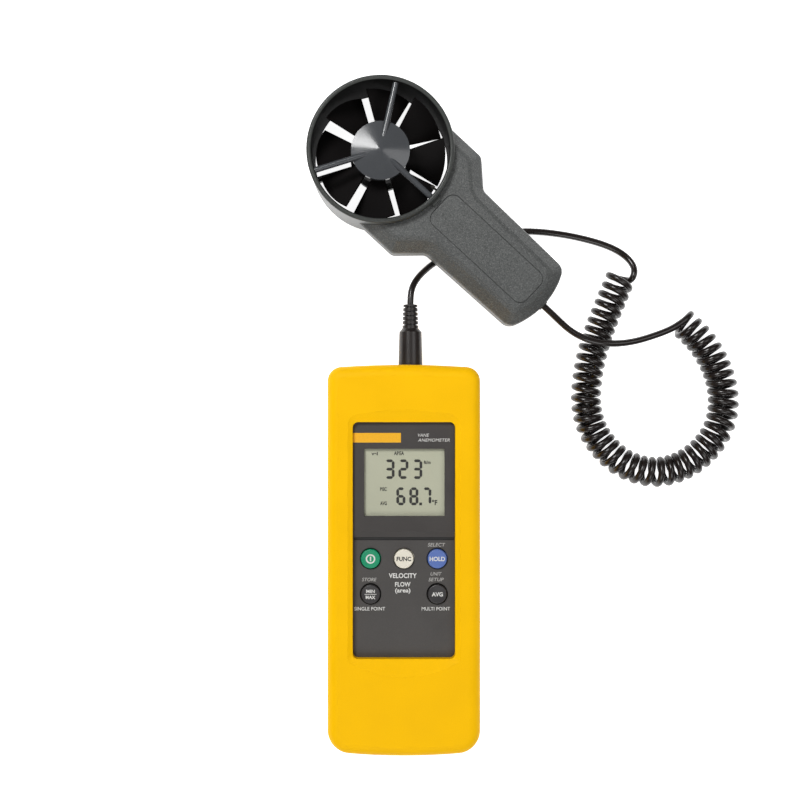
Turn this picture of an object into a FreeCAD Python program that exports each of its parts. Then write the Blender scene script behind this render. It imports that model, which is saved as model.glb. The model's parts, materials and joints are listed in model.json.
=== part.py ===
import FreeCAD, Part
import math
import os
import Sketcher
from types import SimpleNamespace
from FreeCAD import Placement, Rotation, Vector

# Vane anemometer: a hand-held meter in a rubber boot, and a separate vane probe on a curly cord
# whose plug pushes into the top of the meter. Both lie on their backs on one surface, z = 0.
# The origin is the centre of the boot's back face, +Z comes out of the display and +Y runs
# towards the jack. Lengths are in millimetres, angles in degrees.

SIZES = {
    # rubber boot
    "boot_width": 68.8,
    "boot_length": 176,
    "boot_depth": 33,
    "boot_back": 2.6,
    "boot_wall": 2.6,
    "boot_top_radius": 6.5,
    "boot_bottom_radius": 10.5,
    "boot_top_crown": 1.4,
    "boot_bottom_crown": 2,
    "boot_front_round": 5,
    "boot_back_round": 3,
    "boot_play": 0.2,
    "boot_end_play": 0.2,
    "window_width": 45.9,
    "window_top": 62.2,
    "window_bottom": -43.8,
    "lip_front": 32.1,
    "window_round": 2.5,
    "scoop_width": 50.4,
    "scoop_top": 66.0,
    "scoop_top_rise": 1.8,
    "scoop_top_round": 5.5,
    "scoop_bottom": -46.0,
    "scoop_bottom_rise": 5.8,
    "scoop_bottom_round": 2.5,
    # meter case
    "case_split": 15,
    "case_face": 28,
    "case_plate": 2,
    "case_skin": 2,
    "case_round": 8,
    "post_radius": 3.2,
    "post_bore_radius": 1.1,
    "post_bore_depth": 9,
    "board_post_radius": 2.2,
    "board_bore_radius": 0.9,
    "board_bore_depth": 3.2,
    "screw_hole_radius": 1.3,
    "screw_recess_radius": 2.3,
    "screw_recess_depth": 1.6,
    "jack_nose_radius": 5.8,
    "jack_hole_radius": 6,
    "door_half_width": 16,
    "door_bottom": -81,
    "door_top": -24,
    "door_play": 0.2,
    "door_screw_y": -26.2,
    "door_ledge_half_width": 4,
    "door_ledge_height": 4.6,
    # panels, display and keys
    "bezel_front": 29.8,
    "bezel_bottom": 10.3,
    "bezel_bevel": 2.7,
    "bezel_foot": 28.6,
    "keypad_front": 28.6,
    "keypad_top": 8.95,
    "panel_play": 0.1,
    "display_left": -17.9,
    "display_right": 18.3,
    "display_bottom": 19.9,
    "display_top": 50.2,
    "display_margin_x": 3.3,
    "display_margin_y": 2.2,
    "glass_back": 25,
    "glass_thickness": 2.8,
    "holder_back": 22.1,
    "key_radius": 4.35,
    "key_hole_radius": 4.85,
    "key_flange_radius": 5.6,
    "key_front": 30.1,
    "key_flange_front": 25.8,
    "key_back": 24.2,
    "key_pitch": 15,
    "key_row_one": 0.7,
    "key_row_two": -15.2,
    "key_dish": 0.35,
    "key_edge_round": 0.55,
    "mat_thickness": 0.6,
    "mat_dome_radius": 3.4,
    "mat_dome_height": 0.5,
    # circuit board and battery
    "board_back": 20.5,
    "board_thickness": 1.6,
    "battery_width": 26.5,
    "battery_length": 48.5,
    "battery_depth": 17.5,
    "battery_bottom": -79,
    "battery_round": 2,
    "terminal_x": 6.4,
    "terminal_length": 3,
    "small_terminal_radius": 2.8,
    "large_terminal_radius": 3.6,
    # jack and plug
    "jack_x": 3.05,
    "jack_z": 16.5,
    "jack_bore_radius": 3.56,
    "jack_bore_depth": 12,
    "jack_half_side": 6.5,
    "jack_depth": 17,
    "contact_radius": 0.85,
    "contact_bore_radius": 0.47,
    "contact_depth": 10,
    "pin_radius": 0.4,
    "pin_length": 18,
    "plug_shell_radius": 3.5,
    "plug_shell_skin": 0.5,
    "plug_barrel_radius": 5.55,
    "plug_barrel_tip_radius": 5.15,
    "plug_barrel_top": 105,
    "relief_radius": 3.7,
    "relief_tail_radius": 2.2,
    "relief_top": 116,
    "relief_ribs": 5,
    "relief_rib_depth": 0.8,
    "relief_rib_step": 0.08,
    "plug_hole_radius": 6.2,
    "cord_radius": 1.55,
    # probe: where its ring centre lies and how far its handle is turned
    "probe_x": -10.6,
    "probe_y": 185.3,
    "probe_turn": -42.85,
    "ring_radius": 33.5,
    "ring_bore": 31.2,
    "ring_front": 29,
    "ring_lip": 1.0,
    "ring_back_round": 0.6,
    "handle_back": 6.5,
    "handle_split": 15.75,
    "handle_front": 25,
    "handle_edge": 19,
    "handle_skin": 2.2,
    "handle_bevel": 6.4,
    "handle_gap": 0.05,
    "handle_post_radius": 2.6,
    "gland_radius": 2.45,
    "neck_half_width": 30.2,
    "neck_length": 35,
    "grip_start": 46.3,
    "grip_half_width": 19.4,
    "grip_end_half_width": 18.5,
    "grip_tip": 102.3,
    "grip_tip_radius": 35,
    "grip_corner": 4,
    "badge_start": 36.7,
    "badge_end": 94.5,
    "badge_width": 17,
    "badge_corner": 4,
    "badge_depth": 0.7,
    "badge_groove": 0.35,
    # vane
    "vane_mid": 15,
    "vane_tip_radius": 30,
    "vane_hub_radius": 12.4,
    "vane_hub_half_height": 7,
    "vane_hub_round": 1.2,
    "vane_count": 8,
    "vane_pitch": 35,
    "vane_turn": 36,
    "vane_gap": 3.1,
    "vane_thickness": 0.9,
    "shaft_radius": 0.8,
    "shaft_play": 0.05,
    "bearing_radius": 2,
    "bearing_length": 3.4,
    "pickup_side": 3.6,
    "pickup_sunk": 1.6,
    "magnet_radius": 1.4,
    "magnet_length": 2,
    "spider_arm_width": 2.5,
    "spider_arms": 3,
    "front_arm_root": 4.5,
    "front_arm_radius": 1.35,
    "front_arm_height": 26.1,
    "front_hub_radius": 13.35,
    "front_hub_back": 23.2,
    "front_hub_rim": 25.6,
    "front_hub_tip": 29,
    "rear_arm_back": 1.5,
    "rear_arm_front": 5,
    "rear_hub_radius": 14.4,
    # curly cord
    "coil_radius": 7.2,
}


class Size(float):
    """A number that remembers the spreadsheet formula it comes from."""

    def __new__(cls, value, formula):
        size = float.__new__(cls, value)
        size.formula = formula
        return size

    def __neg__(self):
        return Size(-float(self), "-(" + self.formula + ")")

    def __add__(self, other):
        return joined(self, "+", other, float(self) + float(other))

    def __radd__(self, other):
        return joined(other, "+", self, float(other) + float(self))

    def __sub__(self, other):
        return joined(self, "-", other, float(self) - float(other))

    def __rsub__(self, other):
        return joined(other, "-", self, float(other) - float(self))

    def __mul__(self, other):
        return joined(self, "*", other, float(self) * float(other))

    def __rmul__(self, other):
        return joined(other, "*", self, float(other) * float(self))

    def __truediv__(self, other):
        return joined(self, "/", other, float(self) / float(other))


def joined(left, sign, right, value):
    """Two numbers joined by a sign, as a value and as a spreadsheet formula."""
    return Size(value, "(" + formula(left) + " " + sign + " " + formula(right) + ")")


def formula(number):
    return number.formula if isinstance(number, Size) else "(%.6f)" % number


document = FreeCAD.newDocument("VaneAnemometer")
sheet = document.addObject("Spreadsheet::Sheet", "Dimensions")
for row, (name, value) in enumerate(SIZES.items(), start=1):
    sheet.set("A%d" % row, name)
    sheet.set("B%d" % row, str(value))
    sheet.setAlias("B%d" % row, name)
document.recompute()
d = SimpleNamespace(**{name: Size(value, "Dimensions." + name) for name, value in SIZES.items()})

nodes = {}


# ---------------------------------------------------------------- drawing helpers

def bind(thing, **sizes):
    """Set properties, and tie each one that comes from the sheet to its formula."""
    for name, size in sizes.items():
        setattr(thing, name, float(size))
        if isinstance(size, Size):
            thing.setExpression(name, size.formula)


def place(thing, x=0, y=0, z=0, rotation=None, slot="Placement"):
    """Put a thing at x, y, z, each tied to the sheet where it comes from there."""
    setattr(thing, slot, Placement(Vector(float(x), float(y), float(z)), rotation or Rotation()))
    for axis, size in zip("xyz", (x, y, z)):
        if isinstance(size, Size):
            thing.setExpression(slot + ".Base." + axis, size.formula)


def new_body(name):
    body = document.addObject("PartDesign::Body", name)
    body.Label = name
    nodes[name] = body
    return body


def sketch_on(body, plane, height=0, x=0, y=0, rotation=None):
    """A sketch on one of the body's origin planes, moved up from it by height."""
    sketch = body.newObject("Sketcher::SketchObject", body.Label + "_sketch")
    origin = next(item for item in body.Origin.OriginFeatures if item.Role == plane)
    sketch.AttachmentSupport = [(origin, "")]
    sketch.MapMode = "FlatFace"
    place(sketch, x, y, height, rotation, slot="AttachmentOffset")
    return sketch


def hold(sketch, geometry, end, x, y):
    """Hold one point of a sketch at x, y from the sketch's origin."""
    for kind, size in (("DistanceX", x), ("DistanceY", y)):
        if abs(size) < 1e-9:
            axis = -2 if kind == "DistanceX" else -1
            sketch.addConstraint(Sketcher.Constraint("PointOnObject", geometry, end, axis))
            continue
        ends = (-1, 1, geometry, end) if size > 0 else (geometry, end, -1, 1)
        index = sketch.addConstraint(Sketcher.Constraint(kind, *ends, abs(float(size))))
        if isinstance(size, Size):
            sketch.setExpression("Constraints[%d]" % index, (size if size > 0 else -size).formula)


def outline(sketch, points):
    """A closed outline. A point is x, y, or x, y, rise where the edge after it bows outwards."""
    edges = []
    for index, point in enumerate(points):
        x, y = point[:2]
        next_x, next_y = points[(index + 1) % len(points)][:2]
        start, end = Vector(float(x), float(y), 0), Vector(float(next_x), float(next_y), 0)
        if len(point) == 2:
            edges.append((sketch.addGeometry(Part.LineSegment(start, end), False), 1, 2))
            continue
        rise = point[2]
        along = end - start
        outwards = Vector(along.y, -along.x, 0).normalize()
        middle = (start + end) * 0.5 + outwards * float(rise)
        # a sketch's arcs run anticlockwise, so an edge that bows inwards is drawn backwards
        first, last = (start, end) if rise > 0 else (end, start)
        arc = sketch.addGeometry(Part.Arc(first, middle, last), False)
        edges.append((arc, 1, 2) if rise > 0 else (arc, 2, 1))
        chord_squared = (next_x - x) * (next_x - x) + (next_y - y) * (next_y - y)
        radius = (chord_squared / 4 + rise * rise) / (2 * rise)
        bound = sketch.addConstraint(Sketcher.Constraint("Radius", arc, abs(float(radius))))
        if isinstance(radius, Size):
            sketch.setExpression("Constraints[%d]" % bound, (radius if radius > 0 else -radius).formula)
    for index, (geometry, first, last) in enumerate(edges):
        following, following_first, _ = edges[(index + 1) % len(edges)]
        sketch.addConstraint(Sketcher.Constraint("Coincident", geometry, last, following, following_first))
        hold(sketch, geometry, first, *points[index][:2])
    return sketch


def rectangle(sketch, left, bottom, right, top):
    return outline(sketch, [(left, bottom), (right, bottom), (right, top), (left, top)])


def bend(before, corner, after, radius):
    """The two outline points of an arc that rounds a corner between its neighbours."""
    (x0, y0), (x, y), (x1, y1) = before, corner, after
    into = Vector(float(x - x0), float(y - y0), 0).normalize()
    out = Vector(float(x1 - x), float(y1 - y), 0).normalize()
    side = 1 if into.cross(out).z > 0 else -1
    half_turn = into.getAngle(out) / 2
    reach = radius * math.tan(half_turn)
    rise = radius * (1 - math.cos(half_turn)) * side
    return [(x - reach * into.x, y - reach * into.y, rise), (x + reach * out.x, y + reach * out.y)]


def rounded_rectangle(sketch, left, bottom, right, top, radius):
    corners = [(left, bottom), (right, bottom), (right, top), (left, top)]
    points = []
    for index, corner in enumerate(corners):
        points += bend(corners[index - 1], corner, corners[(index + 1) % 4], radius)
    return outline(sketch, points)


def bowed_rectangle(sketch, half_width, bottom, top):
    """A rectangle with rounded corners; bottom and top are y, corner radius, and the edge's bow."""
    corners = [(-half_width, bottom), (half_width, bottom), (half_width, top), (-half_width, top)]
    places = [(x, side[0]) for x, side in corners]
    points = []
    for index, (x, (y, radius, bow)) in enumerate(corners):
        arc_start, arc_end = bend(places[index - 1], (x, y), places[(index + 1) % 4], radius)
        goes_across = index in (0, 2)
        points += [arc_start, (*arc_end, bow) if goes_across else arc_end]
    return outline(sketch, points)


def circle(sketch, radius, x=0, y=0):
    middle = Vector(float(x), float(y), 0)
    ring = sketch.addGeometry(Part.Circle(middle, Vector(0, 0, 1), float(radius)), False)
    hold(sketch, ring, 3, x, y)
    index = sketch.addConstraint(Sketcher.Constraint("Radius", ring, float(radius)))
    if isinstance(radius, Size):
        sketch.setExpression("Constraints[%d]" % index, radius.formula)
    return sketch


def pad(body, sketch, length, midplane=False, taper=0):
    feature = body.newObject("PartDesign::Pad", body.Label + "_pad")
    feature.Profile = sketch
    bind(feature, Length=length)
    feature.Midplane = midplane
    if taper:
        feature.TaperAngle = taper
    document.recompute()
    return feature


def pocket(body, sketch, length, upwards=False):
    """Cut the sketch's shape away, downwards unless told otherwise."""
    before = body.Shape.Volume
    feature = body.newObject("PartDesign::Pocket", body.Label + "_pocket")
    feature.Profile = sketch
    bind(feature, Length=length)
    feature.Reversed = upwards
    document.recompute()
    if not 1e-3 < body.Shape.Volume < before - 1e-3:
        raise RuntimeError("a pocket in " + body.Label + " cut nothing")
    return feature


def turned(body, points, plane="XZ_Plane", axis="V_Axis"):
    """A solid of revolution about a sketch axis; the points are radius, height."""
    return revolve(body, outline(sketch_on(body, plane), points), axis)


def revolve(body, sketch, axis):
    feature = body.newObject("PartDesign::Revolution", body.Label + "_turn")
    feature.Profile = sketch
    feature.ReferenceAxis = (sketch, [axis])
    feature.Angle = 360
    document.recompute()
    return feature


def dress(body, kind, chosen, **sizes):
    """A fillet or chamfer on the edges that chosen picks from the body as it is now."""
    tip = body.Tip
    names = ["Edge%d" % (i + 1) for i, edge in enumerate(tip.Shape.Edges) if chosen(edge)]
    if not names:
        raise RuntimeError("no edge to dress on " + body.Label)
    feature = body.newObject("PartDesign::" + kind, body.Label + "_" + kind.lower())
    feature.Base = (tip, names)
    bind(feature, **sizes)
    document.recompute()
    return feature


def repeat(body, feature, count):
    pattern = body.newObject("PartDesign::PolarPattern", body.Label + "_pattern")
    pattern.Originals = [feature]
    axis = next(item for item in body.Origin.OriginFeatures if item.Role == "Z_Axis")
    pattern.Axis = (axis, [""])
    pattern.Angle = 360
    pattern.Occurrences = int(count)
    body.Tip = pattern
    document.recompute()
    return pattern


def ends_of(edge):
    return edge.Vertexes[0].Point, edge.Vertexes[-1].Point


def upright(edge):
    first, last = ends_of(edge)
    return math.hypot(first.x - last.x, first.y - last.y) < 1e-4 < abs(first.z - last.z)


def lengthwise(edge):
    first, last = ends_of(edge)
    return not upright(edge) and abs(first.x - last.x) < 1e-6


def level_at(height):
    """Picks the edges that lie at one height."""
    def chosen(edge):
        return all(abs(vertex.Point.z - height) < 1e-4 for vertex in edge.Vertexes)
    return chosen


def near(x, y):
    """Picks upright edges at plus or minus x and at y."""
    def chosen(edge):
        point = edge.Vertexes[0].Point
        return upright(edge) and abs(abs(point.x) - x) < 1e-3 and abs(point.y - y) < 1e-3
    return chosen


def block(name, low, size):
    """A plain box from its lowest corner and its three sizes."""
    box = document.addObject("Part::Box", name)
    bind(box, Length=size[0], Width=size[1], Height=size[2])
    place(box, *low)
    return box


ALONG_Y = Rotation(Vector(1, 0, 0), -90)
ALONG_X = Rotation(Vector(0, 1, 0), 90)


def rod(name, radius, length, base, rotation=None):
    """A plain cylinder from its foot, standing along Z unless turned."""
    cylinder = document.addObject("Part::Cylinder", name)
    bind(cylinder, Radius=radius, Height=length)
    place(cylinder, *base, rotation=rotation)
    return cylinder


def cut_from(name, base, tools):
    """The base with the tools taken away."""
    cut = document.addObject("Part::Cut", name)
    cut.Base = base
    if len(tools) == 1:
        cut.Tool = tools[0]
    else:
        cutters = document.addObject("Part::MultiFuse", name + "_cutters")
        cutters.Shapes = tools
        cut.Tool = cutters
    return cut


def fused(name, parts):
    fuse = document.addObject("Part::MultiFuse", name)
    fuse.Shapes = parts
    return fuse


def group(name, parts):
    """One node for several separate solids that are alike or belong together."""
    compound = document.addObject("Part::Compound", name)
    compound.Links = parts
    return as_node(name, compound)


def as_node(name, thing):
    thing.Label = name
    nodes[name] = thing
    return thing


def pan_screw(name, x, y, low, length, radius=1.1, head_radius=2.0, head=1.3):
    """A slotted screw put in from behind, its head lowest, its point up."""
    shank = rod(name + "_shank", radius, length, (x, y, low))
    cap = rod(name + "_head", head_radius, head, (x, y, low))
    slot_side = 0.5
    slot = block(name + "_slot", (x - head_radius, y - slot_side / 2, low),
                 (2 * head_radius, slot_side, slot_side))
    return cut_from(name, fused(name + "_blank", [shank, cap]), [slot])


# ---------------------------------------------------------------- meter: boot and case

# the least room left between two pieces that nearly touch, and how far a cut runs past a face
GAP = 0.1
CLEAR = 1

half_width = d.boot_width / 2
half_length = d.boot_length / 2
case_half_width = half_width - d.boot_wall - d.boot_play
case_half_length = half_length - d.boot_wall - d.boot_play - d.boot_end_play
case_low = d.boot_back + GAP
cavity_half_width = case_half_width + d.boot_play
cavity_half_length = case_half_length + d.boot_play
window_half_width = d.window_width / 2


def make_boot():
    """The soft boot: one skin round the back, the sides and the edge of the face."""
    body = new_body("holster")
    side_top = half_length - d.boot_top_crown
    side_bottom = d.boot_bottom_crown - half_length
    shell = outline(sketch_on(body, "XY_Plane"), [
        (-half_width, side_bottom, d.boot_bottom_crown),
        (half_width, side_bottom),
        (half_width, side_top, d.boot_top_crown),
        (-half_width, side_top),
    ])
    pad(body, shell, d.boot_depth)
    dress(body, "Fillet", near(half_width, side_top), Radius=d.boot_top_radius)
    dress(body, "Fillet", near(half_width, side_bottom), Radius=d.boot_bottom_radius)
    dress(body, "Fillet", level_at(d.boot_depth), Radius=d.boot_front_round)
    dress(body, "Fillet", level_at(0), Radius=d.boot_back_round)

    # the room for the case, closed in front by the boot's face
    room = rounded_rectangle(sketch_on(body, "XY_Plane", d.case_face + GAP), -cavity_half_width,
                             -cavity_half_length, cavity_half_width, cavity_half_length, d.case_round)
    pocket(body, room, d.case_face + GAP - d.boot_back)

    # the window, and the scoop that slopes down to it from a bowed line on the face
    window = rounded_rectangle(sketch_on(body, "XY_Plane", d.boot_depth), -window_half_width,
                               d.window_bottom, window_half_width, d.window_top, d.window_round)
    pocket(body, window, d.boot_depth - d.case_face)
    mouth = bowed_rectangle(
        sketch_on(body, "XY_Plane", d.boot_depth + 0.01), d.scoop_width / 2,
        (d.scoop_bottom, d.scoop_bottom_round, d.scoop_bottom_rise),
        (d.scoop_top, d.scoop_top_round, d.scoop_top_rise))
    overlap = 0.05
    sill_bow = 0.3
    sill = bowed_rectangle(
        sketch_on(body, "XY_Plane", d.lip_front), window_half_width + overlap,
        (d.window_bottom - overlap, d.window_round, sill_bow),
        (d.window_top + overlap, d.window_round, sill_bow))
    before = body.Shape.Volume
    scoop = body.newObject("PartDesign::SubtractiveLoft", "holster_scoop")
    scoop.Profile = mouth
    scoop.Sections = [sill]
    scoop.Ruled = True
    document.recompute()
    if body.Shape.Volume > before - 1:
        raise RuntimeError("the scoop cut nothing")

    # the hole for the plug in the top wall
    hole = circle(sketch_on(body, "XZ_Plane", -half_length - CLEAR), d.plug_hole_radius, d.jack_x, d.jack_z)
    pocket(body, hole, d.boot_wall + 4 * CLEAR, upwards=True)


def case_ring(body, low, high, skin):
    """A case half as a solid block with rounded corners, hollowed later."""
    shell = rounded_rectangle(sketch_on(body, "XY_Plane", low), -case_half_width, -case_half_length,
                              case_half_width, case_half_length, d.case_round)
    pad(body, shell, high - low)
    inner_x = case_half_width - skin
    inner_y = case_half_length - skin
    return inner_x, inner_y


BOSS_PLACES = [(-25.5, -79), (25.5, -79), (-25.5, 79), (25.5, 79)]
BOARD_BOSS_PLACES = [(-24, -18), (24, -18), (-24, 62), (24, 62)]
KEY_PLACES = {
    "power_button": (-d.key_pitch, d.key_row_one),
    "func_button": (0, d.key_row_one),
    "hold_button": (d.key_pitch, d.key_row_one),
    "min_max_button": (-d.key_pitch, d.key_row_two),
    "average_button": (d.key_pitch, d.key_row_two),
}


def make_front_case():
    body = new_body("front_case")
    inner_x, inner_y = case_ring(body, d.case_split, d.case_face, d.case_skin)
    inside = rounded_rectangle(sketch_on(body, "XY_Plane", d.case_split), -inner_x, -inner_y,
                               inner_x, inner_y, d.case_round - d.case_skin)
    pocket(body, inside, d.case_face - d.case_plate - d.case_split, upwards=True)
    opening = rectangle(sketch_on(body, "XY_Plane", d.case_face),
                        d.display_left - d.display_margin_x, d.display_bottom - d.display_margin_y,
                        d.display_right + d.display_margin_x, d.display_top + d.display_margin_y)
    pocket(body, opening, d.case_plate)
    holes = sketch_on(body, "XY_Plane", d.case_face)
    for x, y in KEY_PLACES.values():
        circle(holes, d.key_hole_radius, x, y)
    pocket(body, holes, d.case_plate)
    # posts for the case screws and for the board's screws, hanging from the face plate
    posts = sketch_on(body, "XY_Plane", d.case_split)
    for x, y in BOSS_PLACES:
        circle(posts, d.post_radius, x, y)
    pad(body, posts, d.case_face - d.case_plate - d.case_split)
    board_posts = sketch_on(body, "XY_Plane", d.board_back + d.board_thickness)
    for x, y in BOARD_BOSS_PLACES:
        circle(board_posts, d.board_post_radius, x, y)
    pad(body, board_posts, d.case_face - d.case_plate - d.board_back - d.board_thickness)
    bores = sketch_on(body, "XY_Plane", d.case_split)
    for x, y in BOSS_PLACES:
        circle(bores, d.post_bore_radius, x, y)
    pocket(body, bores, d.post_bore_depth, upwards=True)
    board_bores = sketch_on(body, "XY_Plane", d.board_back + d.board_thickness)
    for x, y in BOARD_BOSS_PLACES:
        circle(board_bores, d.board_bore_radius, x, y)
    pocket(body, board_bores, d.board_bore_depth, upwards=True)
    cut_half_hole(body)


def cut_half_hole(body):
    """Each case half carries half of the hole that the jack's nose sits in."""
    hole = circle(sketch_on(body, "XZ_Plane", -case_half_length - CLEAR), d.jack_hole_radius,
                  d.jack_x, d.jack_z)
    pocket(body, hole, d.case_skin + 1.5 * CLEAR, upwards=True)


def make_rear_case():
    body = new_body("rear_case")
    inner_x, inner_y = case_ring(body, case_low, d.case_split, d.case_skin)
    inside = rounded_rectangle(sketch_on(body, "XY_Plane", d.case_split), -inner_x, -inner_y,
                               inner_x, inner_y, d.case_round - d.case_skin)
    pocket(body, inside, d.case_split - case_low - d.case_skin)
    ledge = rectangle(sketch_on(body, "XY_Plane", case_low + d.case_skin), -d.door_ledge_half_width,
                      d.door_top - 4.2, d.door_ledge_half_width, d.door_top + 4)
    pad(body, ledge, d.door_ledge_height)
    ledge_bore = circle(sketch_on(body, "XY_Plane", case_low + d.case_skin), d.post_bore_radius,
                        0, d.door_screw_y)
    pocket(body, ledge_bore, d.door_ledge_height, upwards=True)
    door = rectangle(sketch_on(body, "XY_Plane", case_low),
                     -d.door_half_width, d.door_bottom, d.door_half_width, d.door_top)
    pocket(body, door, d.case_skin, upwards=True)
    posts = sketch_on(body, "XY_Plane", case_low + d.case_skin)
    for x, y in BOSS_PLACES:
        circle(posts, d.post_radius, x, y)
    pad(body, posts, d.case_split - case_low - d.case_skin)
    bores = sketch_on(body, "XY_Plane", case_low)
    for x, y in BOSS_PLACES:
        circle(bores, d.screw_hole_radius, x, y)
    pocket(body, bores, d.case_split - case_low, upwards=True)
    recesses = sketch_on(body, "XY_Plane", case_low)
    for x, y in BOSS_PLACES:
        circle(recesses, d.screw_recess_radius, x, y)
    pocket(body, recesses, d.screw_recess_depth, upwards=True)
    cut_half_hole(body)


DOOR_SCREW = SimpleNamespace(hole_radius=1.2, recess_radius=1.75, recess_depth=1.4)


def make_battery_door():
    body = new_body("battery_door")
    half = d.door_half_width - d.door_play
    plate = rectangle(sketch_on(body, "XY_Plane", case_low),
                      -half, d.door_bottom + d.door_play, half, d.door_top - d.door_play)
    pad(body, plate, d.case_skin)
    dress(body, "Fillet", upright, Radius=1)
    hole = circle(sketch_on(body, "XY_Plane", case_low), DOOR_SCREW.hole_radius, 0, d.door_screw_y)
    pocket(body, hole, d.case_skin, upwards=True)
    recess = circle(sketch_on(body, "XY_Plane", case_low), DOOR_SCREW.recess_radius, 0, d.door_screw_y)
    pocket(body, recess, DOOR_SCREW.recess_depth, upwards=True)


def make_case_screws():
    group("case_screws", [
        pan_screw("case_screw_%d" % number, x, y, case_low + 0.2, length=18.5)
        for number, (x, y) in enumerate(BOSS_PLACES)
    ])
    as_node("battery_door_screw", pan_screw("door_screw", 0, d.door_screw_y, case_low + 0.05, length=6,
                                               radius=1.1, head_radius=1.6, head=1.2))


# ---------------------------------------------------------------- meter: face and keys

def make_display_bezel():
    """The raised upper panel: it slopes down to the keypad along its lower edge."""
    body = new_body("display_bezel")
    side = outline(sketch_on(body, "YZ_Plane"), [
        (d.bezel_bottom, d.case_face),
        (d.window_top - d.panel_play, d.case_face),
        (d.window_top - d.panel_play, d.bezel_front),
        (d.bezel_bottom + d.bezel_bevel, d.bezel_front),
        (d.bezel_bottom, d.bezel_foot),
    ])
    pad(body, side, d.window_width - 2 * d.panel_play, midplane=True)
    dress(body, "Fillet", near(window_half_width - d.panel_play, d.window_top - d.panel_play),
          Radius=d.window_round)
    opening = rectangle(sketch_on(body, "XY_Plane", d.bezel_front),
                        d.display_left, d.display_bottom, d.display_right, d.display_top)
    pocket(body, opening, d.bezel_front - d.case_face)


def make_keypad_panel():
    body = new_body("keypad_panel")
    half = window_half_width - d.panel_play
    plate = rectangle(sketch_on(body, "XY_Plane", d.case_face),
                      -half, d.window_bottom + d.panel_play, half, d.keypad_top)
    pad(body, plate, d.keypad_front - d.case_face)
    dress(body, "Fillet", near(half, d.window_bottom + d.panel_play), Radius=d.window_round)
    holes = sketch_on(body, "XY_Plane", d.keypad_front)
    for x, y in KEY_PLACES.values():
        circle(holes, d.key_hole_radius, x, y)
    pocket(body, holes, d.keypad_front - d.case_face)


def make_buttons():
    """Each key: a flange under the face plate and a dished cap that stands out of the panel."""
    for name, (x, y) in KEY_PLACES.items():
        body = new_body(name)
        turned(body, [
            (0, d.key_back),
            (d.key_flange_radius, d.key_back),
            (d.key_flange_radius, d.key_flange_front),
            (d.key_radius, d.key_flange_front),
            (d.key_radius, d.key_front),
            (0, d.key_front - d.key_dish),
        ])
        dress(body, "Fillet", level_at(d.key_front), Radius=d.key_edge_round)
        place(body, x, y)


def make_display():
    width = d.display_right - d.display_left
    height = d.display_top - d.display_bottom

    def display_block(name, margin_x, margin_y, low, depth):
        """A block behind the display's opening that is wider and taller than it by the margins."""
        return block(name, (d.display_left - margin_x, d.display_bottom - margin_y, low),
                     (width + 2 * margin_x, height + 2 * margin_y, depth))

    as_node("display_lens", display_block("lens", -0.05, -0.05, d.case_face + 0.2, 0.9))
    as_node("lcd_glass", display_block("glass", 3, 2, d.glass_back, d.glass_thickness))

    # the holder stands between the board and the glass, with a slot for each contact strip
    frame = display_block("holder_block", 5, 5, d.holder_back, 2.8)
    cut_low = d.holder_back - GAP
    hole = display_block("holder_hole", 1, 0.5, cut_low, 3)
    slot_width = 2.2
    strip_width = 1.9
    strip_play = (slot_width - strip_width) / 2
    slot_places = (d.display_bottom - 3.2, d.display_top + 1)
    slots = [block("strip_slot_%d" % side, (d.display_left - 2, y, cut_low), (width + 4, slot_width, 3))
             for side, y in enumerate(slot_places)]
    as_node("lcd_holder", cut_from("holder", frame, [hole] + slots))
    group("lcd_contact_strips", [
        block("contact_strip_%d" % side, (d.display_left - 2 + GAP, y + strip_play, d.holder_back + 0.05),
              (width + 4 - 2 * GAP, strip_width, 2.8))
        for side, y in enumerate(slot_places)
    ])


def make_keypad_mat():
    """The soft mat under the keys, with a low dome for each key."""
    body = new_body("keypad_mat")
    top = d.board_back + d.board_thickness
    margin = 6
    mat = rectangle(sketch_on(body, "XY_Plane", top), -d.key_pitch - margin, d.key_row_two - margin - 0.3,
                    d.key_pitch + margin, d.key_row_one + margin + 0.3)
    pad(body, mat, d.mat_thickness)
    domes = sketch_on(body, "XY_Plane", top + d.mat_thickness)
    for x, y in KEY_PLACES.values():
        circle(domes, d.mat_dome_radius, x, y)
    pad(body, domes, d.mat_dome_height)


BOARD_HALF_WIDTH = 27
BOARD_BOTTOM = -24
BOARD_TOP = 65

# each part on the back of the board: its x and y, width, length and height
BOARD_PARTS = [
    (-8, 20, 14, 14, 1.8), (12, 28, 6, 5, 1.5), (-19, 34, 8, 3.4, 3.2),
    (10, 6, 7, 7, 1.5), (-18, 4, 5, 4, 1.2), (14, 45, 4, 9, 4.5), (-10, 48, 9, 6, 1.5),
]


def make_board():
    body = new_body("main_board")
    plate = rectangle(sketch_on(body, "XY_Plane", d.board_back),
                      -BOARD_HALF_WIDTH, BOARD_BOTTOM, BOARD_HALF_WIDTH, BOARD_TOP)
    pad(body, plate, d.board_thickness)
    holes = sketch_on(body, "XY_Plane", d.board_back)
    screw_radius = 0.9
    for x, y in BOARD_BOSS_PLACES:
        circle(holes, screw_radius + 0.25, x, y)
    pocket(body, holes, d.board_thickness, upwards=True)
    group("board_components", [
        block("chip_%d" % number, (x, y, d.board_back - height), (wide, tall, height))
        for number, (x, y, wide, tall, height) in enumerate(BOARD_PARTS)
    ])
    group("board_screws", [
        pan_screw("board_screw_%d" % number, x, y, d.board_back - 1.2, length=5.8,
                  radius=screw_radius, head_radius=1.7, head=1.2)
        for number, (x, y) in enumerate(BOARD_BOSS_PLACES)
    ])


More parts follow.
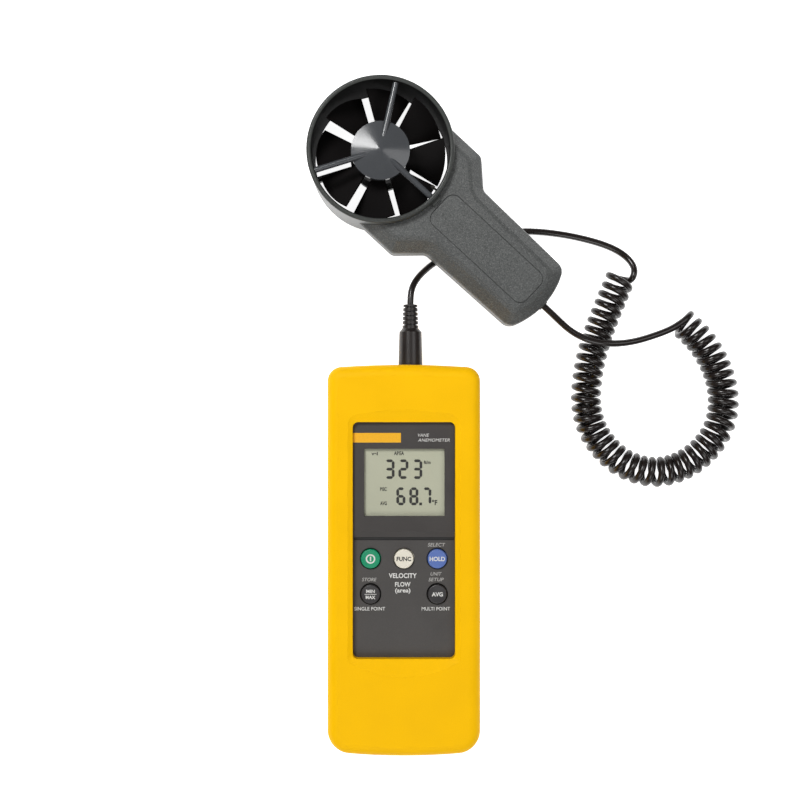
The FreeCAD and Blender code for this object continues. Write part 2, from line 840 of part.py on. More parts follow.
def make_battery():
    low = case_low + d.case_skin + 0.2
    body = new_body("battery")
    half = d.battery_width / 2
    top = d.battery_bottom + d.battery_length - d.terminal_length
    end = rectangle(sketch_on(body, "XY_Plane", low), -half, d.battery_bottom, half, top)
    pad(body, end, d.battery_depth)
    dress(body, "Fillet", lengthwise, Radius=d.battery_round)
    middle = low + d.battery_depth / 2
    terminal_places = ((-d.terminal_x, d.small_terminal_radius), (d.terminal_x, d.large_terminal_radius))
    terminals = sketch_on(body, "XZ_Plane", -top)
    for x, radius in terminal_places:
        circle(terminals, radius, x, middle)
    pad(body, terminals, d.terminal_length).Reversed = True
    document.recompute()

    # the snap sits over both terminals, a little in from the battery's edges
    inset = 1
    snap_foot = top + 0.4
    snap_length = 4.6
    snap = block("snap_block", (-half + inset, snap_foot, low + 2 * inset),
                 (d.battery_width - 2 * inset, snap_length, d.battery_depth - 4 * inset))
    sockets = [rod("snap_socket_%d" % side, radius + 0.05, d.terminal_length + 0.2, (x, top, middle), ALONG_Y)
               for side, (x, radius) in enumerate(terminal_places)]
    as_node("battery_snap", cut_from("snap", snap, sockets))

    # two wires, straight out of the snap and then up to the back of the board
    wire_start = snap_foot + snap_length + GAP
    wire_end = wire_start + 6
    wire_radius = 0.6
    spread = 1.3
    routes = [[(x, wire_start, middle), (x, wire_start + 3.5, middle), (x * spread, wire_end, 15),
               (x * spread, wire_end, d.board_back - GAP)] for x in (-8, 8)]
    wires = document.addObject("Part::Feature", "battery_leads")
    wires.Shape = Part.makeCompound([corded(route, wire_radius) for route in routes])
    as_node("battery_leads", wires)


# ---------------------------------------------------------------- jack and plug

JACK_FRONT = case_half_length

# the pins' places round the jack's axis, as x and z
PIN_PLACES = [(1.4, 1.4), (-1.4, 1.4), (-1.4, -1.4), (1.4, -1.4)]


def make_jack():
    """The jack: a square housing behind the top wall, with a round nose in the wall's hole."""
    body = new_body("sensor_jack")
    side = d.jack_half_side
    back = JACK_FRONT - d.case_skin - d.jack_depth
    square = rectangle(sketch_on(body, "XZ_Plane", -back), d.jack_x - side, d.jack_z - side + 0.5,
                       d.jack_x + side, d.jack_z + side - 3)
    pad(body, square, d.jack_depth).Reversed = True
    document.recompute()
    nose = circle(sketch_on(body, "XZ_Plane", -back), d.jack_nose_radius, d.jack_x, d.jack_z)
    pad(body, nose, d.jack_depth + d.case_skin).Reversed = True
    document.recompute()
    bore = circle(sketch_on(body, "XZ_Plane", -JACK_FRONT), d.jack_bore_radius, d.jack_x, d.jack_z)
    pocket(body, bore, d.jack_bore_depth, upwards=True)

    # each contact stands out behind the housing and takes a pin in its front end
    tail = 1.5
    solid_end = 3
    group("jack_contacts", [
        cut_from("contact_%d" % number,
                 rod("contact_body_%d" % number, d.contact_radius, 12,
                     (d.jack_x + x, back - tail, d.jack_z + z), ALONG_Y),
                 [rod("contact_bore_%d" % number, d.contact_bore_radius, 9,
                      (d.jack_x + x, back + solid_end, d.jack_z + z), ALONG_Y)])
        for number, (x, z) in enumerate(PIN_PLACES)
    ])
    holes = sketch_on(body, "XZ_Plane", -back)
    for x, z in PIN_PLACES:
        circle(holes, d.contact_radius, d.jack_x + x, d.jack_z + z)
    pocket(body, holes, d.contact_depth)


def turned_along_y(name, points):
    """A piece of the plug, turned about the plug's own axis; the points are radius, y."""
    body = new_body(name)
    turned(body, points, plane="XY_Plane")
    place(body, d.jack_x, 0, d.jack_z)
    return body


def make_plug():
    foot = JACK_FRONT + 0.3
    foot_bevel = 0.5
    shell_top = foot + 6
    shell_bottom = foot - 9
    turned_along_y("plug_barrel", [
        (d.plug_shell_radius, foot),
        (d.plug_barrel_radius - foot_bevel, foot),
        (d.plug_barrel_radius, foot + foot_bevel),
        (d.plug_barrel_radius, foot + 4),
        (d.plug_barrel_tip_radius, d.plug_barrel_top - 1.6),
        (d.plug_barrel_tip_radius - 1.3, d.plug_barrel_top),
        (d.relief_tail_radius, d.plug_barrel_top),
        (d.relief_tail_radius, shell_top),
        (d.plug_shell_radius, shell_top),
    ])
    turned_along_y("plug_shell", [
        (d.plug_shell_radius - d.plug_shell_skin, shell_bottom),
        (d.plug_shell_radius, shell_bottom),
        (d.plug_shell_radius, shell_top),
        (d.plug_shell_radius - d.plug_shell_skin, shell_top),
    ])
    insulator = turned_along_y("plug_insulator", [
        (0, foot - 1),
        (d.plug_shell_radius - d.plug_shell_skin, foot - 1),
        (d.plug_shell_radius - d.plug_shell_skin, foot + 4),
        (0, foot + 4),
    ])
    holes = sketch_on(insulator, "XZ_Plane", -foot + 1)
    for x, z in PIN_PLACES:
        circle(holes, d.pin_radius, x, z)
    pocket(insulator, holes, 5)
    group("plug_pins", [
        rod("pin_%d" % number, d.pin_radius, d.pin_length, (d.jack_x + x, foot - 13.5, d.jack_z + z), ALONG_Y)
        for number, (x, z) in enumerate(PIN_PLACES)
    ])
    # the ribbed sleeve: thick rings with thin necks between them, round a bore for the cord
    low = d.plug_barrel_top - 6
    step = (d.relief_top - d.plug_barrel_top) / (d.relief_ribs + 0.5)
    profile = [(d.cord_radius, low), (d.relief_tail_radius, low), (d.relief_tail_radius, d.plug_barrel_top),
               (d.relief_radius, d.plug_barrel_top)]
    for rib in range(int(d.relief_ribs)):
        top = d.plug_barrel_top + step * (rib + 0.7)
        following = d.plug_barrel_top + step * (rib + 1)
        radius = d.relief_radius - d.relief_rib_step * rib
        neck = radius - d.relief_rib_depth
        profile += [(radius, top), (neck, top), (neck, following), (radius - d.relief_rib_step, following)]
    last_radius = d.relief_radius - d.relief_rib_step * d.relief_ribs
    profile += [(last_radius, d.relief_top), (d.cord_radius, d.relief_top)]
    turned_along_y("plug_strain_relief", profile)


# ---------------------------------------------------------------- probe

# where the temperature bead stands in the duct's wall
THERMISTOR_SIDE = 3.8
THERMISTOR_HEIGHT = 26.3
THERMISTOR_STEM_RADIUS = 0.5


def make_duct_ring():
    """The short duct that the vane spins in, with a rolled lip in front."""
    body = new_body("duct_ring")
    turned(body, [
        (d.ring_bore, 0), (d.ring_radius, 0),
        (d.ring_radius, d.ring_front), (d.ring_bore, d.ring_front),
    ])
    dress(body, "Fillet", level_at(d.ring_front), Radius=d.ring_lip)
    dress(body, "Fillet", level_at(0), Radius=d.ring_back_round)

    # a small tab that laps over the handle's face
    tab_half_width = 2.4
    tab = rectangle(sketch_on(body, "XY_Plane", d.handle_front + d.handle_gap), d.ring_radius - 1,
                    -tab_half_width, d.ring_radius + 1.6, tab_half_width)
    pad(body, tab, 1.75)
    socket = circle(sketch_on(body, "YZ_Plane", d.ring_bore - 1), THERMISTOR_STEM_RADIUS + 0.2,
                    THERMISTOR_SIDE, THERMISTOR_HEIGHT)
    pocket(body, socket, d.ring_radius - d.ring_bore + 0.6, upwards=True)


def turned_hub(name, profile):
    """The middle of a spider: the profile is radius, height."""
    body = new_body(name)
    turned(body, profile)
    return body


# the pickup that counts the vane's magnets is let into the rear spider this far from the axis
PICKUP_X = 11


def make_spiders():
    """A front spider with a coned hub and round arms, and a flat rear one; each holds a bearing."""
    arm_end = d.ring_bore - GAP
    front_seat = d.front_hub_back + d.bearing_length
    rear_seat = 2.4
    rear_floor = d.rear_arm_back + 0.6
    front = turned_hub("front_spider", [
        (d.bearing_radius, d.front_hub_back),
        (d.front_hub_radius, d.front_hub_back),
        (d.front_hub_radius, d.front_hub_rim),
        (0, d.front_hub_tip),
        (0, front_seat),
        (d.bearing_radius, front_seat),
    ])
    rod_end = circle(sketch_on(front, "YZ_Plane", d.front_arm_root), d.front_arm_radius,
                     0, d.front_arm_height)
    repeat(front, pad(front, rod_end, arm_end - d.front_arm_root), d.spider_arms)
    rear = turned_hub("rear_spider", [
        (d.bearing_radius, rear_seat),
        (d.bearing_radius, rear_floor),
        (0, rear_floor),
        (0, d.rear_arm_back),
        (d.rear_hub_radius, d.rear_arm_back),
        (d.rear_hub_radius, d.rear_arm_front),
        (d.bearing_radius, d.rear_arm_front),
    ])
    arm = rectangle(sketch_on(rear, "XY_Plane", d.rear_arm_back), d.rear_hub_radius - 4.4,
                    -d.spider_arm_width / 2, arm_end, d.spider_arm_width / 2)
    repeat(rear, pad(rear, arm, d.rear_arm_front - d.rear_arm_back), d.spider_arms)
    seat_half = d.pickup_side / 2 + 0.2
    seat = rectangle(sketch_on(rear, "XY_Plane", d.rear_arm_front), PICKUP_X - seat_half, -seat_half,
                     PICKUP_X + seat_half, seat_half)
    pocket(rear, seat, d.pickup_sunk)
    for name, low, high in (("front_bearing", d.front_hub_back, front_seat),
                            ("rear_bearing", rear_seat, d.rear_arm_front)):
        body = new_body(name)
        turned(body, [
            (d.shaft_radius + d.shaft_play, low),
            (d.bearing_radius, low),
            (d.bearing_radius, high),
            (d.shaft_radius + d.shaft_play, high),
        ])


MAGNET_REACH = 9.4
MAGNET_PLACES = [(MAGNET_REACH, 0), (0, MAGNET_REACH), (-MAGNET_REACH, 0), (0, -MAGNET_REACH)]


def make_impeller():
    """Hub and flat blades in one moulding; each blade is tilted about its own radius."""
    body = new_body("impeller")
    half = d.vane_hub_half_height
    turned(body, [
        (d.shaft_radius, d.vane_mid - half), (d.vane_hub_radius, d.vane_mid - half),
        (d.vane_hub_radius, d.vane_mid + half), (d.shaft_radius, d.vane_mid + half),
    ])
    dress(body, "Fillet", lambda edge: edge.Length > 6 * d.vane_hub_radius, Radius=d.vane_hub_round)
    seats = sketch_on(body, "XY_Plane", d.vane_mid - half)
    for x, y in MAGNET_PLACES:
        circle(seats, d.magnet_radius, x, y)
    pocket(body, seats, d.magnet_length, upwards=True)
    half_sector = math.radians(180 / d.vane_count)
    lean = math.cos(math.radians(d.vane_pitch))
    half_gap = d.vane_gap / 2

    def edge_at(reach):
        """Half the blade's width, measured in its own plane, at a distance from the axis."""
        return (reach * math.tan(half_sector) - half_gap / math.cos(half_sector)) / lean

    sunk_in_hub = 1.6
    root = d.vane_hub_radius - sunk_in_hub
    shoulder = d.vane_tip_radius * math.cos(half_sector)
    blade = outline(
        sketch_on(body, "XY_Plane", d.vane_mid, rotation=Rotation(Vector(1, 0, 0), float(d.vane_pitch))), [
            (root, -edge_at(root)),
            (shoulder, -edge_at(shoulder), d.vane_tip_radius - shoulder - 0.15),
            (shoulder, edge_at(shoulder)),
            (root, edge_at(root)),
        ])
    repeat(body, pad(body, blade, d.vane_thickness, midplane=True), d.vane_count)


def make_shaft():
    body = new_body("impeller_shaft")
    low, high = 2.5, 26.4
    bevel = 0.4
    turned(body, [
        (0, low),
        (d.shaft_radius - bevel, low),
        (d.shaft_radius, low + bevel),
        (d.shaft_radius, high - bevel),
        (d.shaft_radius - bevel, high),
        (0, high),
    ])


def handle_outline(sketch, inset=0, corner=None):
    """The handle from above: a wide neck at the ring, a slant each side, and a long grip."""
    corner = corner or d.grip_corner
    lean = inset * math.tan(math.radians(22.5))
    neck = d.neck_half_width - inset
    grip = d.grip_half_width - inset
    grip_end = d.grip_end_half_width - inset
    tip = d.grip_tip - inset
    half_chord = grip_end - 0.8 * corner
    crown = half_chord * half_chord / (2 * (d.grip_tip_radius - inset))
    shoulder = tip - crown
    turn_rise = 0.215 * corner
    start = (HANDLE_START, -neck)
    neck_corner = (d.neck_length - lean, -neck)
    grip_corner = (d.grip_start - lean, -grip)
    grip_foot = (shoulder - 1.28 * corner, -grip_end)
    lower = [start]
    lower += bend(start, neck_corner, grip_corner, corner)
    lower += bend(neck_corner, grip_corner, grip_foot, corner + 2 * inset)
    tip_corner = [(*grip_foot, turn_rise), (shoulder, -half_chord, crown), (shoulder, half_chord, turn_rise)]
    upper = [(x, -y) for x, y, *_ in reversed(lower)]
    # a mirrored edge bows as its twin does, and each rise belongs to the point before its edge
    upper = [(*upper[index], *lower[len(lower) - 2 - index][2:]) if index < len(lower) - 1
             else upper[index] for index in range(len(upper))]
    return outline(sketch, lower + tip_corner + [(grip_foot[0], grip_end)] + upper)


HANDLE_START = 6
CORD_EXIT = d.grip_tip + 0.4
HANDLE_SCREWS = [(38, -20.5), (38, 20.5), (88, -12.5), (88, 12.5)]
HANDLE_SCREW_RADIUS = 1.0

# the room inside the handle: half its width, and how far it stops short of the handle's tip
ROOM_HALF_WIDTH = 15.8
ROOM_TO_TIP = 5.8


def handle_half(name, split, edge, face, inset, corner, soften):
    """Half of the handle: an upright wall from the split, then a slope in to the flat face.

    The slope's first and last steps are short and steeper or flatter than the rest, which
    rounds the two long edges.
    """
    body = new_body(name)
    low = min(split, edge)
    pad(body, handle_outline(sketch_on(body, "XY_Plane", low)), abs(edge - split))
    slope = body.newObject("PartDesign::AdditiveLoft", name + "_slope")
    slope.Profile = handle_outline(sketch_on(body, "XY_Plane", edge))
    rise = (face - edge) / 6
    slope.Sections = [
        handle_outline(sketch_on(body, "XY_Plane", edge + rise), soften / 3, 0.9 * corner + 0.4),
        handle_outline(sketch_on(body, "XY_Plane", face - rise * 0.8), inset - soften * 0.9, corner),
        handle_outline(sketch_on(body, "XY_Plane", face), inset + soften * 0.3, corner),
    ]
    slope.Ruled = True
    document.recompute()
    around = circle(sketch_on(body, "XY_Plane", d.handle_front + CLEAR), d.ring_radius + d.handle_gap)
    pocket(body, around, d.handle_front - d.handle_back + 2 * CLEAR)
    return body


def handle_room(body, half_width, end):
    """The outline of a room inside the handle, from the ring's wall to its end."""
    return rectangle(sketch_on(body, "XY_Plane", d.handle_split), d.ring_radius + d.handle_skin,
                     -half_width, end, half_width)


def handle_circles(body, height, radius, places):
    """One circle for each screw of the handle."""
    circles = sketch_on(body, "XY_Plane", height)
    for x, y in places:
        circle(circles, radius, x, y)
    return circles


def make_handle():
    front = handle_half("handle_front_shell", d.handle_split, d.handle_edge, d.handle_front,
                        d.handle_bevel, corner=2, soften=1.5)
    wall_room = d.handle_edge - 0.6 - d.handle_split
    face_room = d.handle_front - d.handle_skin - 0.8 - d.handle_split
    pocket(front, handle_room(front, ROOM_HALF_WIDTH, d.grip_tip - ROOM_TO_TIP), wall_room, upwards=True)
    pocket(front, handle_room(front, 11, d.grip_tip - ROOM_TO_TIP - 3), face_room, upwards=True)
    half_badge = d.badge_width / 2 + d.badge_groove
    recess = rounded_rectangle(sketch_on(front, "XY_Plane", d.handle_front + CLEAR),
                               d.badge_start - d.badge_groove, -half_badge,
                               d.badge_end + d.badge_groove, half_badge, d.badge_corner + d.badge_groove)
    pocket(front, recess, d.badge_depth + CLEAR)

    rear = handle_half("handle_rear_shell", d.handle_split, d.handle_back + 3, d.handle_back,
                       2.6, corner=3, soften=0.8)
    rear_room = d.handle_split - d.handle_back - d.handle_skin
    pocket(rear, handle_room(rear, ROOM_HALF_WIDTH, d.grip_tip - ROOM_TO_TIP), rear_room)
    rear_floor = d.handle_back + d.handle_skin
    pad(rear, handle_circles(rear, rear_floor, d.handle_post_radius, HANDLE_SCREWS[2:]), rear_room)
    pocket(rear, handle_circles(rear, d.handle_back, 1.25, HANDLE_SCREWS),
           d.handle_split - d.handle_back, upwards=True)
    pocket(rear, handle_circles(rear, d.handle_back, 2.2, HANDLE_SCREWS), 2.6, upwards=True)
    pad(front, handle_circles(front, d.handle_split, d.handle_post_radius, HANDLE_SCREWS[2:]), wall_room)
    pocket(front, handle_circles(front, d.handle_split, HANDLE_SCREW_RADIUS, HANDLE_SCREWS), 4, upwards=True)

    for body in (front, rear):
        exit_hole = circle(sketch_on(body, "YZ_Plane", d.grip_tip - 7), d.gland_radius + 0.05,
                           0, d.handle_split)
        pocket(body, exit_hole, 12, upwards=True)
    group("handle_screws", [
        pan_screw("handle_screw_%d" % number, x, y, d.handle_back + 1, length=12,
                  radius=HANDLE_SCREW_RADIUS, head_radius=1.9, head=1.3)
        for number, (x, y) in enumerate(HANDLE_SCREWS)
    ])

    badge_body = new_body("grip_badge")
    plate = rectangle(sketch_on(badge_body, "XY_Plane", d.handle_front - d.badge_depth),
                      d.badge_start, -d.badge_width / 2, d.badge_end, d.badge_width / 2)
    pad(badge_body, plate, d.badge_depth)
    dress(badge_body, "Fillet", upright, Radius=d.badge_corner)


def make_probe_insides():
    middle = d.handle_split
    floor = d.handle_back + d.handle_skin
    plate_thickness = 1.2
    group("pickup_board", [
        block("pickup_plate", (40, -7, floor), (34, 14, plate_thickness)),
        block("pickup_chip", (50, -3, floor + plate_thickness), (7, 6, 1.6)),
    ])
    side = d.pickup_side
    group("pickup_sensor", [
        block("pickup_block", (PICKUP_X - side / 2, -side / 2, d.rear_arm_front - d.pickup_sunk),
              (side, side, d.pickup_sunk + 0.3)),
    ])
    group("vane_magnets", [
        rod("magnet_%d" % number, d.magnet_radius, d.magnet_length,
            (x, y, d.vane_mid - d.vane_hub_half_height))
        for number, (x, y) in enumerate(MAGNET_PLACES)
    ])
    # the temperature bead: a stem in the duct's wall and a thicker, rounded end inside the duct
    stem_end = d.ring_radius - 0.4
    bead_tip = d.ring_bore - 3.4
    bead_radius = 0.85
    bead = outline(sketch_on(new_body("thermistor"), "XY_Plane", THERMISTOR_HEIGHT, y=THERMISTOR_SIDE), [
        (bead_tip, 0),
        (stem_end, 0),
        (stem_end, THERMISTOR_STEM_RADIUS),
        (bead_tip + 1.7, THERMISTOR_STEM_RADIUS),
        (bead_tip + 1.3, bead_radius),
        (bead_tip + 0.5, bead_radius),
        (bead_tip, 0.4),
    ])
    revolve(nodes["thermistor"], bead, "H_Axis")

    # the gland in the handle's tip: its flange is behind the wall and its collar shows outside
    groove_radius = d.cord_radius + 0.05
    stem = rod("gland_stem", d.gland_radius, 9.6, (d.grip_tip - 9.2, 0, middle), ALONG_X)
    flange = rod("gland_flange", 3.6, 1.3, (d.grip_tip - 10.2, 0, middle), ALONG_X)
    bore = rod("gland_bore", groove_radius, 12, (d.grip_tip - 10.6, 0, middle), ALONG_X)
    group("cord_gland", [cut_from("gland", fused("gland_blank", [flange, stem]), [bore])])
    clamp_start = 80
    clamp = block("clamp_block", (clamp_start, -4.5, floor), (6, 9, 7))
    groove = rod("clamp_groove", groove_radius, 8, (clamp_start - CLEAR, 0, middle), ALONG_X)
    group("cable_clamp", [cut_from("clamp", clamp, [groove])])
    cable_length = 22.9
    group("inner_cable", [
        rod("inner_lead", d.cord_radius, cable_length, (CORD_EXIT - cable_length - GAP, 0, middle), ALONG_X),
    ])


PROBE_NODES = [
    "duct_ring", "front_spider", "rear_spider", "front_bearing", "rear_bearing", "impeller",
    "impeller_shaft", "vane_magnets", "handle_front_shell", "handle_rear_shell", "handle_screws",
    "grip_badge", "pickup_board", "pickup_sensor", "thermistor", "cord_gland", "cable_clamp",
    "inner_cable",
]
VANE_NODES = ["impeller", "vane_magnets"]


def lay_probe_down():
    """Move the probe's pieces from the ring's centre to where the probe lies beside the meter."""
    for name in PROBE_NODES:
        node = nodes[name]
        own_turn = float(d.vane_turn) if name in VANE_NODES else 0
        turn = Rotation(Vector(0, 0, 1), float(d.probe_turn) + own_turn)
        place(node, d.probe_x, d.probe_y, 0, rotation=turn)


# ---------------------------------------------------------------- cord

def probe_point(along, across, height):
    """A point of the probe, from its own frame to the meter's."""
    turn = math.radians(d.probe_turn)
    return (d.probe_x + along * math.cos(turn) - across * math.sin(turn),
            d.probe_y + along * math.sin(turn) + across * math.cos(turn), height)


def corded(route, radius, report=""):
    """A round tube along straight runs joined by tangent arcs as large as the runs allow."""
    points = [Vector(*(float(value) for value in point)) for point in route]
    edges = []
    here = points[0]
    radii = []
    for before, corner, after in zip(points, points[1:], points[2:]):
        back = before - corner
        onward = after - corner
        half_turn = (math.pi - back.getAngle(onward)) / 2
        reach = 0.45 * min(back.Length, onward.Length)
        arc_radius = reach / math.tan(half_turn)
        radii.append(arc_radius)
        arc_start = corner + back.normalize() * reach
        arc_end = corner + onward.normalize() * reach
        to_middle = (arc_start + arc_end) * 0.5 - corner
        middle = corner + to_middle.normalize() * (arc_radius / math.cos(half_turn) - arc_radius)
        edges.append(Part.LineSegment(here, arc_start).toShape())
        edges.append(Part.Arc(arc_start, middle, arc_end).toShape())
        here = arc_end
    edges.append(Part.LineSegment(here, points[-1]).toShape())
    wire = Part.Wire(edges)
    section = Part.Wire([Part.Circle(points[0], points[1] - points[0], radius).toShape()])
    tube = wire.makePipeShell([section], True, False)
    expected = math.pi * radius * radius * wire.Length
    if abs(tube.Volume - expected) > 0.01 * expected:
        raise RuntimeError("a cord's tube has the wrong volume")
    if report:
        low = "%.1f" % min(radii)
        print(report, "length %.1f" % wire.Length, "smallest radius", low, "lowest %.2f" % tube.BoundBox.ZMin,
              "radii", " ".join("%.1f" % value for value in radii))
    return tube


# how high the middle line of the cord lies where it rests on the surface
ON_FLOOR = d.cord_radius + 0.05
COIL_HEIGHT = d.coil_radius + 0.02    # and the coil's own middle line

# the coiled stretch, from the end nearest the jack's lead round to the end nearest the handle's
COIL_ROUTE = [
    (102.3, 130.5, COIL_HEIGHT), (98.3, 121.1, COIL_HEIGHT), (94.2, 111.2, COIL_HEIGHT),
    (90.2, 100.4, COIL_HEIGHT), (87.3, 89.7, COIL_HEIGHT), (85.7, 78.9, COIL_HEIGHT),
    (85.4, 69.0, COIL_HEIGHT), (87.9, 59.1, COIL_HEIGHT), (93.3, 50.6, COIL_HEIGHT),
    (100.9, 43.4, COIL_HEIGHT), (109.9, 39.3, COIL_HEIGHT), (118.9, 38.0, COIL_HEIGHT),
    (127.9, 39.8, COIL_HEIGHT), (136.9, 44.7, COIL_HEIGHT), (144.5, 52.4, COIL_HEIGHT),
    (149.0, 61.4, COIL_HEIGHT), (150.3, 70.8, COIL_HEIGHT), (149.4, 79.8, COIL_HEIGHT),
    (146.3, 88.8, COIL_HEIGHT), (141.8, 96.9, COIL_HEIGHT), (136.0, 104.0, COIL_HEIGHT),
    (130.1, 109.0, COIL_HEIGHT),
]

# out of the handle's end, over the coil in a low hump, and onto the top of the coil's last turn
HANDLE_LEAD_ROUTE = [
    probe_point(CORD_EXIT, 0, d.handle_split),
    probe_point(CORD_EXIT + 6, 0, d.handle_split),
    (76.0, 104.4, 16.9), (83.0, 100.2, 18.6), (90.6, 98.2, 19.2), (98.6, 97.9, 18.6),
    (107.1, 99.2, 16.4), (115.8, 101.8, 14.2), (124.1, 104.9, 13.0), (130.6, 108.3, 12.2),
]

# from the coil's other end round onto the surface, under the handle, and up into the plug
PLUG_LEAD_ROUTE = [
    (106.7, 124.0, 6.5), (108.9, 128.9, 5.6), (108.9, 134.4, 4.1), (106.3, 139.3, 2.7),
    (101.2, 143.2, 1.9), (94.2, 146.2, ON_FLOOR), (85.6, 148.6, ON_FLOOR), (76.0, 150.6, ON_FLOOR),
    (65.8, 151.9, ON_FLOOR), (55.8, 152.3, ON_FLOOR), (46.0, 150.9, ON_FLOOR), (36.0, 147.9, ON_FLOOR),
    (26.4, 143.8, ON_FLOOR), (18.5, 139.6, 2.2), (13.2, 136.0, 4.2), (9.4, 132.4, 8.0), (6.2, 128.6, 12.2),
    (4.0, 124.6, 15.3), (d.jack_x, 120.2, d.jack_z), (d.jack_x, d.relief_top, d.jack_z),
]


def make_cords():
    for name, route, radius in (("coil_cord", COIL_ROUTE, d.coil_radius),
                                ("lead_to_handle", HANDLE_LEAD_ROUTE, d.cord_radius),
                                ("lead_to_plug", PLUG_LEAD_ROUTE, d.cord_radius)):
        cord = document.addObject("Part::Feature", name)
        cord.Shape = corded(route, float(radius), report=name)
        cord.Placement = Placement()
        as_node(name, cord)


# ---------------------------------------------------------------- the whole object

def build_all():
    make_boot()
    make_front_case()
    make_rear_case()
    make_battery_door()
    make_case_screws()
    make_display_bezel()
    make_keypad_panel()
    make_buttons()
    make_display()
    make_keypad_mat()
    make_board()
    make_battery()
    make_jack()
    make_plug()
    make_duct_ring()
    make_spiders()
    make_impeller()
    make_shaft()
    make_handle()
    make_probe_insides()
    lay_probe_down()
    make_cords()
    document.recompute()


def check_all():
    for thing in document.Objects:
        if "Invalid" in thing.State or "Error" in thing.State:
            raise RuntimeError(thing.Name + " failed: " + str(thing.State))
    for name, node in nodes.items():
        if node.Shape.isNull() or not node.Shape.isValid() or not node.Shape.Solids:
            raise RuntimeError(name + " has no sound shape")


def write_all():
    os.makedirs("parts", exist_ok=True)
    for name, node in nodes.items():
        node.Shape.exportStep("parts/" + name + ".step")
    print(len(nodes), "nodes written")


build_all()
check_all()
write_all()
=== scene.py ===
import json
import math

import bmesh
import bpy
from mathutils import Matrix, Vector


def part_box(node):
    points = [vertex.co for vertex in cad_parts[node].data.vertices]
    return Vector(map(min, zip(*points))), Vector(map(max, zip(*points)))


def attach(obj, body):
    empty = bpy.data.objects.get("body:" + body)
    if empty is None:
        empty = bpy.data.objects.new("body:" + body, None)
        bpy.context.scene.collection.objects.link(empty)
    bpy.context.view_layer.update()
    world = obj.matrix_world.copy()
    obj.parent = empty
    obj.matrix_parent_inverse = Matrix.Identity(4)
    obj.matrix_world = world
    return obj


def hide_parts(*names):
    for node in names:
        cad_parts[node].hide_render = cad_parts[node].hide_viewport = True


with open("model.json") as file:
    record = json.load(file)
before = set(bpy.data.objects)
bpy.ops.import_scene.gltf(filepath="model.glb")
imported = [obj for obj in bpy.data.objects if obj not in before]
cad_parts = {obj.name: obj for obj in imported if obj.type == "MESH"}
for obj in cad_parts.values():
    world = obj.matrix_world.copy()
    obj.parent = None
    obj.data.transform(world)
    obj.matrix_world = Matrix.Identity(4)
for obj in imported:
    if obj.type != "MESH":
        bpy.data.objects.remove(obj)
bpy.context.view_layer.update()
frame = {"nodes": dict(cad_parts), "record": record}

MM = 0.001
UP = Vector((0, 0, 1))
WHITE = (1, 1, 1, 1)


def in_metres(points):
    """Points given in millimetres, as vectors in metres."""
    return [Vector(point) * MM for point in points]


# ---------------------------------------------------------------- camera and light

CAMERA_PLACE = Vector((-1.75, 72.1, 529)) * MM
LAMP_TARGET = Vector((0.02, 0.07, 0.0))
STUDIO_BRIGHTNESS = 0.12


def make_camera():
    """Straight above the object, looking down, with +Y up the picture."""
    data = bpy.data.cameras.new("camera")
    data.lens = 50
    data.sensor_width = 36
    camera = bpy.data.objects.new("camera", data)
    camera.location = CAMERA_PLACE
    bpy.context.scene.collection.objects.link(camera)
    bpy.context.scene.camera = camera


def make_lamp(name, place, size, power):
    """A square soft box that faces the object."""
    data = bpy.data.lights.new(name, "AREA")
    data.shape = "SQUARE"
    data.size = size
    data.energy = power
    lamp = bpy.data.objects.new(name, data)
    lamp.location = place
    lamp.rotation_euler = (LAMP_TARGET - Vector(place)).to_track_quat("-Z", "Y").to_euler()
    bpy.context.scene.collection.objects.link(lamp)


def make_light():
    """Three soft boxes, and a weak white light from all round."""
    make_lamp("key_light", (-0.42, 0.62, 1.0), size=0.4, power=9.5)
    make_lamp("fill_light", (0.75, 0.15, 1.15), size=0.7, power=3.5)
    make_lamp("front_light", (-0.1, -0.85, 1.1), size=0.8, power=6.5)
    world = bpy.data.worlds.new("studio")
    world.use_nodes = True
    background = world.node_tree.nodes["Background"]
    background.inputs["Color"].default_value = WHITE
    background.inputs["Strength"].default_value = STUDIO_BRIGHTNESS
    bpy.context.scene.world = world
    bpy.context.scene.view_settings.view_transform = "Standard"


# ---------------------------------------------------------------- materials

def linear(red, green, blue):
    """A colour given as 0 to 255 screen values, in the linear values that shaders use."""
    def one(value):
        value = value / 255
        return value / 12.92 if value <= 0.04045 else ((value + 0.055) / 1.055) ** 2.4
    return one(red), one(green), one(blue), 1


def scaled(colour, factor):
    """A lighter or darker version of a linear colour."""
    return tuple(min(1, value * factor) for value in colour[:3]) + (1,)


